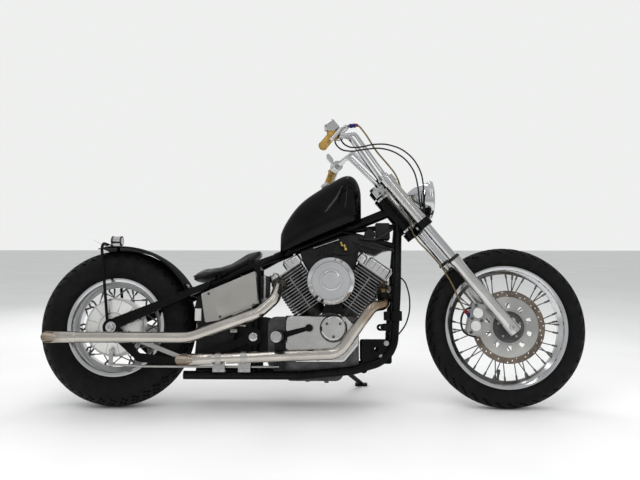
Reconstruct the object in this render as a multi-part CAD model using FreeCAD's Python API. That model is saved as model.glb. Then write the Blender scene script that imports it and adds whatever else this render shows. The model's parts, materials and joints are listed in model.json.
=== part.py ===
import FreeCAD, Part
import math
import os

# A long-fork chopper motorcycle with a 70 degree V-twin, parked on its side stand.
# It is modelled upright: +X forward, +Y to its left, +Z up, with the origin on the
# floor under the rear axle. At the end it leans over on the stand, and the origin
# moves to the middle of the bottom of its box. Lengths are millimetres.

Vector = FreeCAD.Vector
ORIGIN = Vector(0, 0, 0)
LEFT = Vector(0, 1, 0)
FORWARD = Vector(1, 0, 0)
UP = Vector(0, 0, 1)

# Stance
wheelbase = 1628.0
lean_deg = 9.0
rake_deg = 39.0
overrun = 10.0
running_gap = 0.05

# Rear wheel, 170/80-15
rear_tyre_radius = 326.0
rear_tyre_half_width = 85.0
rear_crown_radius = 95.0
rear_shoulder_deg = 52.0
rear_bulge_radius = 250.0
rear_flange_radius = 204.0
rear_seat_radius = 190.5
rear_rim_half_width = 55.0
rear_well_half_width = 30.0
rear_well_depth = 22.0
rear_barrel_radius = 45.0
rear_hub_half_width = 56.0
rear_drum_radius = 122.0
rear_drum_width = 40.0
rear_flange_left_radius = 78.0
rear_spoke_pairs = 20

# Front wheel, 100/90-19
front_tyre_radius = 332.0
front_tyre_half_width = 50.0
front_crown_radius = 54.0
front_shoulder_deg = 58.0
front_bulge_radius = 286.0
front_flange_radius = 254.5
front_seat_radius = 241.3
front_rim_half_width = 33.0
front_well_half_width = 16.0
front_well_depth = 17.0
front_barrel_radius = 32.0
front_hub_half_width = 56.0
front_flange_ring_radius = 52.0
front_cap_radius = 65.0
front_cap_length = 12.0
front_cap_face_share = 0.82
front_flange_inset = 21.0
front_spoke_pairs = 20

# Wheel details
flange_thickness = 4.0
rim_wall = 4.0
spoke_radius = 1.9
spoke_sweep_deg = 34.0
spoke_side_shift = 3.0
hub_flange_thickness = 7.0
rear_axle_radius = 10.0
front_axle_radius = 8.5

# Front brake
disc_radius = 149.0
disc_ring_width = 25.0
disc_thickness = 5.0
disc_bore_radius = 40.0
disc_window_count = 10
disc_window_inner = 74.0
disc_window_outer = 113.0
disc_window_half_width = 13.0
disc_window_corner = 6.0
caliper_gap = 5.0
caliper_wall = 14.0
caliper_half_length = 66.0
caliper_inner_reach = 16.0
caliper_depth = 40.0
caliper_corner = 12.0
caliper_outer_reach = 26.0
caliper_turn_deg = 38.7
piston_radius = 20.0
piston_height = 6.0
piston_spacing = 30.0

# Fork, measured along its legs from the front axle
leg_half_spacing = 100.0
slider_radius = 25.0
slider_length = 354.0
slider_foot = 26.0
slider_collar_radius = 28.5
slider_collar_height = 16.0
slider_lug_width = 22.0
leg_radius = 20.5
leg_above_yoke = 7.0
lower_yoke_height = 546.0
upper_yoke_height = 776.0
yoke_thickness = 34.0
yoke_half_depth = 32.0
yoke_boss_radius = 33.0
stem_offset = 55.0
stem_radius = 15.0
stem_boss_radius = 27.0
shroud_radius = 27.0
front_axle_half_length = 128.0
front_axle_nut_radius = 15.0
front_spacer_radius = 14.0

# Frame
neck_radius = 30.0
neck_gap = 6.0
backbone_radius = 21.0
rail_radius = 17.0
seat_rail_radius = 15.0
backbone_meets_neck = 680.0
backbone_end_x = 660.0
backbone_end_z = 622.0
seat_rail_front_x = 705.0
seat_rail_knee_x = 610.0
seat_rail_knee_z = 597.0
seat_rail_half_spacing = 72.0
seat_rail_end_x = 392.0
seat_rail_end_z = 500.0
seat_rail_bend = 90.0
downtube_meets_neck = 632.0
downtube_half_spacing = 118.0
downtube_knee_z = 470.0
downtube_knee_x = 1166.0
downtube_corner_x = 1148.0
downtube_corner_z = 205.0
rail_front_x = 985.0
rail_front_z = 158.0
rail_mid_x = 775.0
rail_z = 138.0
rail_end_x = 308.0
downtube_bend = 220.0
corner_bend = 120.0
rail_bend = 400.0
seat_tube_x = 588.0
seat_tube_splay_z = 230.0
seat_tube_bend = 60.0
brace_meets_neck = 600.0
brace_end_x = 940.0
brace_radius = 11.0
cross_rail_front_x = 1030.0
cross_rail_rear_x = 420.0
gusset_thickness = 8.0
gusset_front_x = 1142.0
gusset_rear_x = 1024.0
gusset_top_z = 279.0
gusset_bottom_z = 185.0
gusset_hole_radius = 10.0
lug_height = 330.0
lug_reach = 34.0
lug_radius = 15.0
lug_width = 18.0
lug_bore_radius = 5.25

# Swing arm
pivot_x = 585.0
pivot_z = 289.0
pivot_radius = 28.0
pivot_pin_radius = 10.0
pivot_cover_radius = 36.0
pivot_cover_length = 10.0
arm_half_spacing = 104.0
arm_half_thickness = 10.0
arm_low_x = 318.0
arm_low_z = 184.0
arm_dip_x = 118.0
arm_dip_z = 206.0
arm_corner = 12.0
arm_depth = 34.0
arm_blade_depth = 26.0
axle_plate_radius = 34.0
arm_bolt_radius = 12.0
rear_axle_half_length = 128.0
rear_axle_nut_radius = 15.0
rear_spacer_radius = 17.0

# Rear brake
brake_panel_radius = 117.0
brake_panel_inner = 62.0
brake_panel_outer = 88.0
brake_panel_dome_radius = 62.0
brake_lever_reach = 62.0
brake_cam_drop = 96.0
brake_cam_radius = 9.0
brake_rod_radius = 4.5
brake_rod_bend = 30.0
brake_rod_out_y = 134.0
brake_rod_z = 172.0
brake_rod_turn_x = 150.0
brake_arm_half_width = 8.0
brake_arm_thickness = 6.0
torque_arm_rear_x = 70.0
torque_arm_rear_z = 290.0
torque_arm_front_x = 296.0
torque_arm_front_z = 203.0
torque_arm_half_width = 9.0
torque_arm_thickness = 4.0

# Final drive on the left
drive_case_radius = 88.0
drive_case_inner = 62.0
drive_case_outer = 92.0
drive_case_neck_radius = 34.0
shaft_tube_radius = 21.0
shaft_bell_radius = 29.0
shaft_bell_length = 26.0
shaft_rear_x = 30.0
shaft_front_x = 650.0
shaft_rear_z = 322.0
shaft_front_z = 288.0
shaft_y = 118.0

# Engine
crank_x = 893.0
crank_z = 296.0
v_half_deg = 35.0
case_half_width = 96.0
case_rear_x = 642.0
case_front_x = 1012.0
case_top_z = 372.0
case_bottom_z = 160.0
case_corner = 34.0
sump_half_width = 74.0
sump_rear_x = 706.0
sump_front_x = 950.0
sump_bottom_z = 113.0
case_boss_radius = 92.0
cover_thickness = 46.0
cover_rear_x = 716.0
cover_front_x = 1010.0
cover_bottom_z = 190.0
cover_top_z = 374.0
cover_corner = 26.0
cover_edge = 9.0
cover_outline_shares = ((0.12, 0.0), (0.80, 0.0), (1.0, 0.38), (1.0, 0.72), (0.82, 1.0), (0.0, 1.0),
                        (0.0, 0.28))
round_cover_x = 909.0
round_cover_z = 324.0
round_cover_radius = 52.0
round_cover_depth = 14.0
round_cover_dome = 11.0
round_cover_groove = 3.5
round_cover_bolt_radius = 4.5
round_cover_bolt_share = 0.62
round_cover_bolt_degs = (35.0, 145.0, 270.0)
barrel_radius = 52.0
barrel_base = 96.0
fin_start = 138.0
fin_pitch = 12.6
fin_thickness = 4.0
fin_count = 12
fin_half_length = 77.0
fin_half_width = 70.0
fin_corner = 18.0
head_height = 34.0
head_half_length = 62.0
head_half_width = 58.0
head_corner = 16.0
head_fin_count = 3
rocker_height = 46.0
rocker_half_length = 79.0
rocker_half_width = 62.0
rocker_corner = 18.0
rocker_edge = 11.0
rocker_panel_height = 4.0
rocker_panel_share = 0.5
rear_rocker_shares = ((-0.98, -0.38, 0.40), (0.05, 1.08, 0.78))
front_rocker_shares = ((-1.17, -0.66, 0.80), (-0.61, 0.84, 1.0))
fin_post_width = 4.0

# Intake and exhaust
cleaner_x = 899.0
cleaner_z = 512.0
cleaner_radius = 94.0
cleaner_lip_radius = 80.0
cleaner_inner_y = 112.0
cleaner_depth = 78.0
cleaner_boss_radius = 42.0
cleaner_boss_height = 6.0
cleaner_edge = 14.0
carb_radius = 30.0
carb_half_width = 46.0
carb_low_z = 428.0
carb_high_z = 560.0
pipe_radius = 22.0
pipe_wall = 2.5
pipe_y = 168.0
slash_length = 82.0
slash_height = 80.0
upper_tip_x = -226.0
upper_pipe_z = 287.0
upper_bend_x = 336.0
upper_rise_x = 610.0
upper_rise_z = 383.0
upper_knee_x = 672.0
upper_knee_y = 150.0
upper_knee_z = 440.0
upper_port_x = 688.0
upper_port_y = 52.0
upper_port_z = 525.0
lower_tip_x = 322.0
lower_pipe_z_rear = 200.0
lower_pipe_z_front = 226.0
lower_bend_x = 930.0
lower_rise_x = 1015.0
lower_rise_z = 345.0
lower_top_x = 1064.0
lower_top_z = 410.0
lower_knee_x = 1118.0
lower_knee_y = 122.0
lower_knee_z = 422.0
lower_port_x = 1112.0
lower_port_y = 50.0
lower_port_z = 509.0
pipe_bend = 80.0
pipe_port_bend = 36.0
pin_gap = 1.0
hanger_thickness = 5.0
hanger_half_length = 24.0
hanger_drop_y = 156.0
hanger_xs = (455.0, 556.0)

# Tank
tank_rear_x = 683.0
tank_front_x = 1026.0
tank_height = 206.0
tank_half_width = 122.0
tank_seat_gap = 6.0
tank_station_shares = (0.0, 0.06, 0.22, 0.45, 0.68, 0.86, 0.96, 1.0)
tank_top_shares = (0.42, 0.60, 0.86, 1.0, 1.08, 1.06, 0.86, 0.62)
tank_width_shares = (0.30, 0.48, 0.72, 0.92, 1.0, 0.94, 0.70, 0.48)
tank_section_shares = ((0.86, 0.0), (1.0, 0.25), (0.94, 0.55), (0.62, 0.88))
tank_skirt = 16.0
tank_mount_radius = 8.0
tank_mount_xs = (720.0, 975.0)
cap_x = 876.0
cap_radius = 18.0
cap_height = 14.0
cap_sink = 6.0
cap_tilt_deg = -28.0

# Seat and boxes
seat_rear_x = 317.0
seat_front_x = 594.0
seat_rear_z = 524.0
seat_front_z = 640.0
seat_thickness = 30.0
seat_half_width = 118.0
seat_plan_height = 350.0
seat_post_radius = 13.0
seat_post_xs = (430.0, 560.0)
seat_top_shares = ((0.0, 0.26), (0.27, 0.25), (0.52, 0.38), (0.74, 0.72), (0.97, 1.19))
seat_base_shares = ((0.0, 0.04), (0.17, 0.02), (0.62, 0.37), (0.91, 0.71), (1.0, 1.0))
seat_plan_shares = ((0.0, 0.50), (0.12, 0.84), (0.35, 1.0), (0.65, 0.74), (1.0, 0.42))
box_inner_y = 80.0
box_outer_y = 132.0
box_lean = 12.0
box_corner = 7.0
box_rear_x = 370.0
box_front_x = 590.0
box_rear_top_z = 462.0
box_front_top_z = 556.0
box_front_low_z = 424.0
box_low_x = 446.0
box_low_z = 356.0
box_corner_x = 390.0
box_corner_z = 346.0
battery_rear_x = 500.0
battery_front_x = 610.0
battery_bottom_z = 410.0
battery_top_z = 540.0
battery_half_width = 66.0

# Rear fender, lamp and plate
fender_gap = 14.0
fender_thickness = 4.0
fender_half_width = 89.0
fender_edge_drop = 9.0
fender_foot_y = 40.0
fender_foot_radius = 8.0
fender_front_deg = 22.0
fender_rear_deg = 104.0
strut_radius = 6.0
strut_y = 104.0
strut_foot_x = -18.0
strut_foot_z = 345.0
strut_top_x = -62.0
strut_bend = 40.0
lamp_x = -30.0
lamp_radius = 20.0
lamp_length = 42.0
lamp_rise = 10.0
lamp_foot_half = 16.0
plate_half_width = 62.0
plate_height = 62.0
plate_thickness = 3.0
plate_overlap_deg = 4.0
plate_tilt_deg = 27.0

# Foot controls
peg_x = 690.0
peg_z = 292.0
peg_radius = 18.0
peg_length = 108.0
peg_inner_y = 160.0
peg_rubber = 2.0
peg_bracket_y = 132.0
peg_bracket_thickness = 10.0
peg_bracket_half = 22.0
pedal_x = 812.0
pedal_z = 326.0
pedal_radius = 8.0
pedal_arm_half_depth = 13.0
pedal_arm_tip_half_depth = 8.0
pedal_arm_thickness = 9.0
pedal_pad_radius = 13.0
pedal_pad_length = 46.0

# Handlebar, measured in the fork's own frame
bar_radius = 11.0
bar_back = -13.0
bar_pair_gap = 28.0
bar_foot_y = 50.0
bar_knee_y = 148.0
bar_knee_rise = 225.0
bar_elbow_back = -84.0
bar_elbow_y = 284.0
bar_elbow_rise = 247.0
bar_end_back = -163.0
bar_end_y = 378.0
bar_end_rise = 211.0
bar_bend = 45.0
riser_radius = 17.0
riser_length = 26.0
bar_join_share = 0.55
bar_pair_knee_share = 0.94
bar_pair_share = 0.8
grip_overhang = 4.0
housing_near = 14.0
lever_forward = 44.0
grip_radius = 17.0
grip_length = 112.0
housing_radius = 24.0
housing_length = 40.0
lever_radius = 6.0
master_half_length = 30.0
master_half_width = 22.0
master_height = 34.0
master_rise = 30.0
mirror_half_length = 30.0
mirror_half_height = 20.0
mirror_thickness = 12.0

# Headlamp
headlamp_forward = 66.8
headlamp_height_share = 0.43
headlamp_radius = 82.0
headlamp_length = 118.0
headlamp_rim = 16.0
headlamp_wall = 4.0
headlamp_tail_radius = 16.0
lens_thickness = 6.0
lamp_stay_radius = 9.0
lamp_bulge_share = 0.45
lamp_bulge_height_share = 0.74

# Side stand
stand_pivot_x = 948.0
stand_foot_x = 1040.0
stand_foot_y = 372.0
stand_leg_radius = 12.0
stand_pin_radius = 9.0
stand_eye_radius = 20.0
stand_eye_height = 24.0
stand_foot_length = 58.0
stand_foot_width = 34.0
stand_foot_thickness = 10.0
stand_lug_y = 161.0
stand_lug_z = 150.0
stand_lug_gap = 5.0
stand_plate = 10.0
stand_web_half = 9.0

stand_folded_out_deg = 5.7
stand_folded_up_deg = 3.4
stand_leg_slim = 2.0

# General
spoke_sides = 6
full_turn = 360.0
quarter_turn = 90.0
cable_run_share = 0.45
straight_share = 0.999

# Cables and hose: routes as chosen points, upright frame
cable_radius = 3.2
hose_radius = 3.6
clutch_cable_route = ((1181, 81, 560), (1222, 84, 535), (1243, 88, 470), (1243, 92, 400), (1225, 98, 340),
                      (1190, 108, 295), (1155, 118, 268))
brake_hose_route = ((954, -259, 1126), (985, -262, 1128), (1010, -240, 1138), (1045, -205, 1105),
                    (1085, -165, 1050), (1132, -120, 1012), (1178, -84, 966), (1205, -62, 884),
                    (1228, -60, 810), (1236, -60, 742), (1260, -62, 692), (1310, -66, 640), (1360, -70, 580),
                    (1400, -72, 510), (1425, -76, 445), (1446, -84, 400), (1478, -78, 364))
throttle_routes = (
    ((912, -262, 1080), (917, -262, 1050), (942, -254, 1029), (985, -238, 1028), (1040, -210, 1046),
     (1100, -174, 1062), (1160, -138, 1058), (1215, -110, 1030), (1252, -97, 980), (1266, -92, 915),
     (1271, -80, 855), (1289, -56, 783)),
    ((936, -256, 1078), (948, -252, 1056), (975, -243, 1043), (1020, -224, 1050), (1070, -198, 1070),
     (1130, -162, 1082), (1195, -126, 1072), (1247, -104, 1036), (1281, -97, 975), (1290, -90, 905),
     (1288, -76, 845), (1297, -46, 785)))

# Places that follow from the sizes above
lean = math.radians(lean_deg)
bar_foot_height = upper_yoke_height + yoke_thickness / 2
leg_top = upper_yoke_height + yoke_thickness / 2 + leg_above_yoke
rake = math.radians(rake_deg)
rear_axle_z = rear_tyre_radius - rear_crown_radius + rear_crown_radius / math.cos(lean)
front_axle_z = front_tyre_radius - front_crown_radius + front_crown_radius / math.cos(lean)
rear_axle = Vector(0, 0, rear_axle_z)
front_axle = Vector(wheelbase, 0, front_axle_z)
leg_up = Vector(-math.sin(rake), 0, math.cos(rake))
leg_forward = Vector(math.cos(rake), 0, math.sin(rake))
fork_frame = FreeCAD.Placement(front_axle, FreeCAD.Rotation(LEFT, -rake_deg))


def rod(radius, start, end):
    run = end - start
    return Part.makeCylinder(radius, run.Length, start, run)


def ring(outer, inner, start, end):
    return rod(outer, start, end).cut(rod(inner, start, end))


def cross_rod(radius, x, z, y_from, y_to):
    return rod(radius, Vector(x, y_from, z), Vector(x, y_to, z))


def box(x_from, x_to, y_from, y_to, z_from, z_to):
    return Part.makeBox(x_to - x_from, y_to - y_from, z_to - z_from, Vector(x_from, y_from, z_from))


def rounded_box(half_x, half_y, z_from, z_to, corner):
    body = box(-half_x, half_x, -half_y, half_y, z_from, z_to)
    return body.makeFillet(corner, edges_along(body, UP))


def edges_along(body, way):
    """The straight edges that run along a direction."""
    return [edge for edge in body.Edges
            if abs(edge.tangentAt(edge.FirstParameter).dot(way)) > straight_share
            and isinstance(edge.Curve, Part.Line)]


def side_plate(outline, y_from, y_to):
    points = [Vector(x, y_from, z) for x, z in outline]
    wire = Part.makePolygon(points + points[:1])
    return Part.Face(wire).extrude(Vector(0, y_to - y_from, 0))


def rounded_outline(corners, radius):
    """A closed outline whose corners all have the same radius."""
    spans = []
    for index, corner in enumerate(corners):
        before = corners[index - 1]
        after = corners[(index + 1) % len(corners)]
        way_in = (corner - before).normalize()
        way_out = (after - corner).normalize()
        half_turn = way_in.getAngle(way_out) / 2
        reach = radius * math.tan(half_turn)
        inward = (way_out - way_in).normalize()
        middle = corner + inward * (radius / math.cos(half_turn) - radius)
        spans.append((corner - way_in * reach, middle, corner + way_out * reach))
    edges = []
    for span, following in zip(spans, spans[1:] + spans[:1]):
        edges.append(Part.Arc(*span).toShape())
        edges.append(Part.LineSegment(span[-1], following[0]).toShape())
    return Part.Wire(edges)


def rounded_side_plate(outline, radius, y_from, y_to):
    wire = rounded_outline([Vector(x, y_from, z) for x, z in outline], radius)
    return Part.Face(wire).extrude(Vector(0, y_to - y_from, 0))


def softened(shape, radius, test):
    """Rounds the straight and curved edges whose middles pass a test."""
    chosen = []
    for edge in shape.Edges:
        if test(edge.valueAt((edge.FirstParameter + edge.LastParameter) / 2)):
            chosen.append(edge)
    return shape.makeFillet(radius, chosen)


def joined(*shapes):
    whole = shapes[0]
    for shape in shapes[1:]:
        whole = whole.fuse(shape)
    return whole.removeSplitter()


def seated(shape, *carriers):
    for carrier in carriers:
        shape = shape.cut(carrier)
    return shape


def together(*shapes):
    return Part.makeCompound(list(shapes))


def mirrored(shape):
    return shape.mirror(ORIGIN, LEFT)


def flipped(points):
    return [Vector(p.x, -p.y, p.z) for p in points]


def turned_profile(points):
    """A closed outline of (across, out) points turned round the wheel's own Y axis."""
    outline = [Vector(0, across, out) for across, out in points]
    wire = Part.makePolygon(outline + outline[:1])
    return Part.Face(wire).revolve(ORIGIN, LEFT, full_turn)


def bent_path(points, bends):
    """Straight runs joined by tangent arcs, one bend radius for each inner point."""
    edges = []
    start = points[0]
    for before, corner, after, radius in zip(points, points[1:], points[2:], bends):
        way_in = (corner - before).normalize()
        way_out = (after - corner).normalize()
        half_turn = way_in.getAngle(way_out) / 2
        reach = radius * math.tan(half_turn)
        arc_start = corner - way_in * reach
        arc_end = corner + way_out * reach
        inward = (way_out - way_in).normalize()
        middle = corner + inward * (radius / math.cos(half_turn) - radius)
        edges.append(Part.LineSegment(start, arc_start).toShape())
        edges.append(Part.Arc(arc_start, middle, arc_end).toShape())
        start = arc_end
    edges.append(Part.LineSegment(start, points[-1]).toShape())
    return Part.Wire(edges)


def bent_tube(points, radius, bends):
    path = bent_path(points, bends)
    circle = Part.Circle(points[0], points[1] - points[0], radius).toShape()
    return path.makePipeShell([Part.Wire([circle])], True, False)


def evenly_bent_tube(points, radius):
    """A cable whose arcs are each as large as their two runs allow."""
    bends = []
    for before, corner, after in zip(points, points[1:], points[2:]):
        turn = (corner - before).getAngle(after - corner)
        shorter = min((corner - before).Length, (after - corner).Length)
        bends.append(cable_run_share * shorter / math.tan(turn / 2))
    print("cable radii", [round(bend) for bend in bends])
    return bent_tube(points, radius, bends)


def stem_point(height):
    """A point on the steering axis, at a height along the fork legs."""
    return front_axle + leg_up * height - leg_forward * stem_offset


def backbone_z(x):
    start = stem_point(backbone_meets_neck)
    slope = (start.z - backbone_end_z) / (start.x - backbone_end_x)
    return backbone_end_z + (x - backbone_end_x) * slope


def tyre(radius, half_width, crown, shoulder_deg, bulge_radius, seat, lip, bead_half):
    shoulder = math.radians(shoulder_deg)
    shoulder_y = crown * math.sin(shoulder)
    shoulder_r = radius - crown + crown * math.cos(shoulder)
    left = [Vector(0, shoulder_y, shoulder_r), Vector(0, half_width, bulge_radius), Vector(0, bead_half, lip)]
    right = flipped(left)
    top = Vector(0, 0, radius)
    edges = [Part.Arc(right[0], top, left[0]).toShape()]
    edges.append(Part.Arc(left[0], left[1], left[2]).toShape())
    corner_left = Vector(0, bead_half, seat)
    corner_right = Vector(0, -bead_half, seat)
    edges.append(Part.LineSegment(left[2], corner_left).toShape())
    edges.append(Part.LineSegment(corner_left, corner_right).toShape())
    edges.append(Part.LineSegment(corner_right, right[2]).toShape())
    edges.append(Part.Arc(right[2], right[1], right[0]).toShape())
    return Part.Face(Part.Wire(edges)).revolve(ORIGIN, LEFT, full_turn)


def rim(flange_radius, seat, half_width, well_half, well_depth):
    inner = half_width - flange_thickness
    under = seat - rim_wall
    well = seat - well_depth
    half = [(half_width, flange_radius), (inner, flange_radius), (inner, seat)]
    low = [(half_width, under), (well_half + rim_wall, under), (well_half, well)]
    outline = half + [(-y, r) for y, r in reversed(half)]
    outline += [(-y, r) for y, r in low] + list(reversed(low))
    return turned_profile(outline)


def spoke(radius, start, end):
    run = end - start
    along = Vector(run).normalize()
    side = along.cross(UP if abs(along.z) < abs(along.x) else FORWARD).normalize()
    turn = FreeCAD.Rotation(along, full_turn / spoke_sides)
    corner = side * radius
    corners = []
    for step in range(spoke_sides):
        corners.append(start + corner)
        corner = turn.multVec(corner)
    return Part.Face(Part.makePolygon(corners + corners[:1])).extrude(run)


def spokes(pairs, flange_places, rim_radius, rim_shift):
    """Crossed spokes: from each flange, alternate ones lean forward and back."""
    solids = []
    step = full_turn / pairs
    for side, (flange_y, flange_radius) in enumerate(flange_places):
        for index in range(pairs):
            way = 1 if index % 2 else -1
            hub_angle = math.radians((index + side / 2) * step)
            rim_angle = hub_angle + way * math.radians(spoke_sweep_deg)
            hub_y = flange_y + way * spoke_side_shift / 2
            start = Vector(flange_radius * math.sin(hub_angle), hub_y, flange_radius * math.cos(hub_angle))
            rim_y = rim_shift if flange_y > 0 else -rim_shift
            end = Vector(rim_radius * math.sin(rim_angle), rim_y, rim_radius * math.cos(rim_angle))
            solids.append(spoke(spoke_radius, start, end))
    return solids


def rear_wheel():
    lip = rear_flange_radius
    bead_half = rear_rim_half_width - flange_thickness
    rubber = tyre(rear_tyre_radius, rear_tyre_half_width, rear_crown_radius, rear_shoulder_deg,
                  rear_bulge_radius, rear_seat_radius, lip, bead_half)
    drum_in = -rear_hub_half_width + rear_drum_width
    left_flange = rear_hub_half_width - hub_flange_thickness
    hub = turned_profile([
        (-rear_hub_half_width, 0), (-rear_hub_half_width, rear_drum_radius), (drum_in, rear_drum_radius),
        (drum_in + hub_flange_thickness, rear_barrel_radius),
        (left_flange - hub_flange_thickness, rear_barrel_radius),
        (left_flange, rear_flange_left_radius), (rear_hub_half_width, rear_flange_left_radius),
        (rear_hub_half_width, 0)])
    hub = hub.cut(cross_rod(rear_axle_radius + running_gap, 0, 0, -rear_tyre_half_width, rear_tyre_half_width))
    hoop = rim(rear_flange_radius, rear_seat_radius, rear_rim_half_width, rear_well_half_width, rear_well_depth)
    left_middle = rear_hub_half_width - hub_flange_thickness / 2
    flange_places = [(drum_in - hub_flange_thickness, rear_drum_radius - hub_flange_thickness),
                     (left_middle, rear_flange_left_radius - hub_flange_thickness)]
    wires = spokes(rear_spoke_pairs, flange_places, rear_seat_radius - rim_wall, rear_well_half_width / 2)
    hoop = seated(joined(hoop, *wires), hub)
    return {"rear_tyre": rubber, "rear_rim_spokes": hoop, "rear_hub": hub}


def front_wheel():
    lip = front_flange_radius
    bead_half = front_rim_half_width - flange_thickness
    rubber = tyre(front_tyre_radius, front_tyre_half_width, front_crown_radius, front_shoulder_deg,
                  front_bulge_radius, front_seat_radius, lip, bead_half)
    half = front_hub_half_width
    thick = hub_flange_thickness
    disc_y = -half
    flange_y = half - front_flange_inset
    hub = turned_profile([
        (-half - front_cap_length, 0), (-half - front_cap_length, front_cap_radius * front_cap_face_share),
        (-half - disc_thickness, front_cap_radius), (-half - disc_thickness, disc_bore_radius),
        (disc_y, disc_bore_radius), (-flange_y - thick, disc_bore_radius),
        (-flange_y - thick, front_flange_ring_radius), (-flange_y, front_flange_ring_radius),
        (-flange_y + thick, front_barrel_radius), (flange_y - thick, front_barrel_radius),
        (flange_y, front_flange_ring_radius), (flange_y + thick, front_flange_ring_radius),
        (flange_y + thick * 2, front_barrel_radius), (half, front_barrel_radius), (half, 0)])
    hub = hub.cut(cross_rod(front_axle_radius + running_gap, 0, 0, -leg_half_spacing, leg_half_spacing))
    hoop = rim(front_flange_radius, front_seat_radius, front_rim_half_width, front_well_half_width, front_well_depth)
    flange_places = [(-flange_y - thick / 2, front_flange_ring_radius - thick),
                     (flange_y + thick / 2, front_flange_ring_radius - thick)]
    wires = spokes(front_spoke_pairs, flange_places, front_seat_radius - rim_wall, front_well_half_width / 2)
    hoop = seated(joined(hoop, *wires), hub)
    inner = disc_radius - disc_ring_width
    disc = ring_plate(disc_radius, inner, disc_y)
    carrier = ring_plate(inner, disc_bore_radius, disc_y)
    half_window = disc_window_half_width
    window = rounded_side_plate([(-half_window, disc_window_inner), (half_window, disc_window_inner),
                                 (half_window, disc_window_outer), (-half_window, disc_window_outer)],
                                disc_window_corner, disc_y - disc_thickness, disc_y)
    for index in range(disc_window_count):
        cutter = window.copy()
        cutter.rotate(ORIGIN, LEFT, full_turn * index / disc_window_count)
        carrier = carrier.cut(cutter)
    return {"front_tyre": rubber, "front_rim_spokes": hoop, "front_hub": hub, "brake_disc": disc,
            "disc_carrier": carrier}


def ring_plate(outer, inner, y):
    return ring(outer, inner, Vector(0, y - disc_thickness, 0), Vector(0, y, 0))


def main_frame():
    neck_low = stem_point(lower_yoke_height + yoke_thickness / 2 + neck_gap)
    neck_high = stem_point(upper_yoke_height - yoke_thickness / 2 - neck_gap)
    neck = rod(neck_radius, neck_low, neck_high)
    backbone = rod(backbone_radius, stem_point(backbone_meets_neck), Vector(backbone_end_x, 0, backbone_end_z))
    brace_start = stem_point(brace_meets_neck)
    brace = rod(brace_radius, brace_start, Vector(brace_end_x, 0, backbone_z(brace_end_x)))
    pieces = [neck, backbone, brace]
    for side in (-1, 1):
        seat_y = side * seat_rail_half_spacing
        rail_y = side * downtube_half_spacing
        pieces.append(bent_tube([Vector(seat_rail_front_x, 0, backbone_z(seat_rail_front_x)),
                                 Vector(seat_rail_knee_x, seat_y, seat_rail_knee_z),
                                 Vector(seat_rail_end_x, seat_y, seat_rail_end_z)],
                                seat_rail_radius, [seat_rail_bend]))
        pieces.append(bent_tube([stem_point(downtube_meets_neck),
                                 Vector(downtube_knee_x, rail_y, downtube_knee_z),
                                 Vector(downtube_corner_x, rail_y, downtube_corner_z),
                                 Vector(rail_front_x, rail_y, rail_front_z),
                                 Vector(rail_mid_x, rail_y, rail_z),
                                 Vector(rail_end_x, rail_y, rail_z)],
                                rail_radius, [downtube_bend, corner_bend, corner_bend, rail_bend]))
        pieces.append(bent_tube([Vector(seat_tube_x, seat_y, seat_rail_knee_z - seat_rail_radius),
                                 Vector(seat_tube_x, seat_y, seat_tube_splay_z),
                                 Vector(seat_tube_x, rail_y, rail_z)],
                                seat_rail_radius, [seat_tube_bend]))
        plate_in = rail_y - side * gusset_thickness / 2
        plate_out = rail_y + side * gusset_thickness / 2
        gusset = rounded_side_plate([(gusset_front_x, gusset_top_z), (gusset_rear_x, gusset_top_z),
                                     (gusset_rear_x, gusset_bottom_z), (gusset_front_x, gusset_bottom_z)],
                                    gusset_hole_radius, min(plate_in, plate_out), max(plate_in, plate_out))
        hole_x = (gusset_front_x + gusset_rear_x) / 2
        hole_z = (gusset_top_z + gusset_bottom_z) / 2 + gusset_hole_radius
        gusset = gusset.cut(cross_rod(gusset_hole_radius, hole_x, hole_z, min(plate_in, plate_out),
                                      max(plate_in, plate_out)))
        pieces.append(gusset)
        lug = rod(lug_radius, Vector(downtube_corner_x - lug_reach, rail_y - lug_width / 2, lug_height),
                  Vector(downtube_corner_x - lug_reach, rail_y + lug_width / 2, lug_height))
        arm = box(downtube_corner_x - lug_reach, downtube_corner_x, rail_y - lug_width / 2, rail_y + lug_width / 2,
                  lug_height - lug_radius, lug_height + lug_radius)
        lug_bore = cross_rod(lug_bore_radius, downtube_corner_x - lug_reach, lug_height,
                             rail_y - lug_width / 2, rail_y + lug_width / 2)
        pieces.append(joined(lug, arm).cut(lug_bore))
    for x in (cross_rail_front_x, cross_rail_rear_x):
        pieces.append(cross_rod(seat_rail_radius, x, rail_height_at(x), -downtube_half_spacing, downtube_half_spacing))
    pieces.append(cross_rod(seat_rail_radius, seat_rail_end_x, seat_rail_end_z,
                            -seat_rail_half_spacing, seat_rail_half_spacing))
    pieces.append(cross_rod(seat_rail_radius, seat_tube_x, seat_rail_knee_z - seat_rail_radius,
                            -seat_rail_half_spacing, seat_rail_half_spacing))
    pieces.append(cross_rod(seat_rail_radius, pivot_x, pivot_z, -seat_rail_half_spacing, seat_rail_half_spacing))
    for x in tank_mount_xs:
        half = backbone_radius + tank_seat_gap + overrun
        pieces.append(cross_rod(tank_mount_radius, x, backbone_z(x), -half, half))
    frame = joined(*pieces)
    bore = rod(stem_radius + running_gap, neck_low - leg_up * overrun, neck_high + leg_up * overrun)
    return frame.cut(bore)


def rail_height_at(x):
    if x < rail_mid_x:
        return rail_z
    share = (x - rail_mid_x) / (rail_front_x - rail_mid_x)
    return rail_z + share * (rail_front_z - rail_z)


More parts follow.
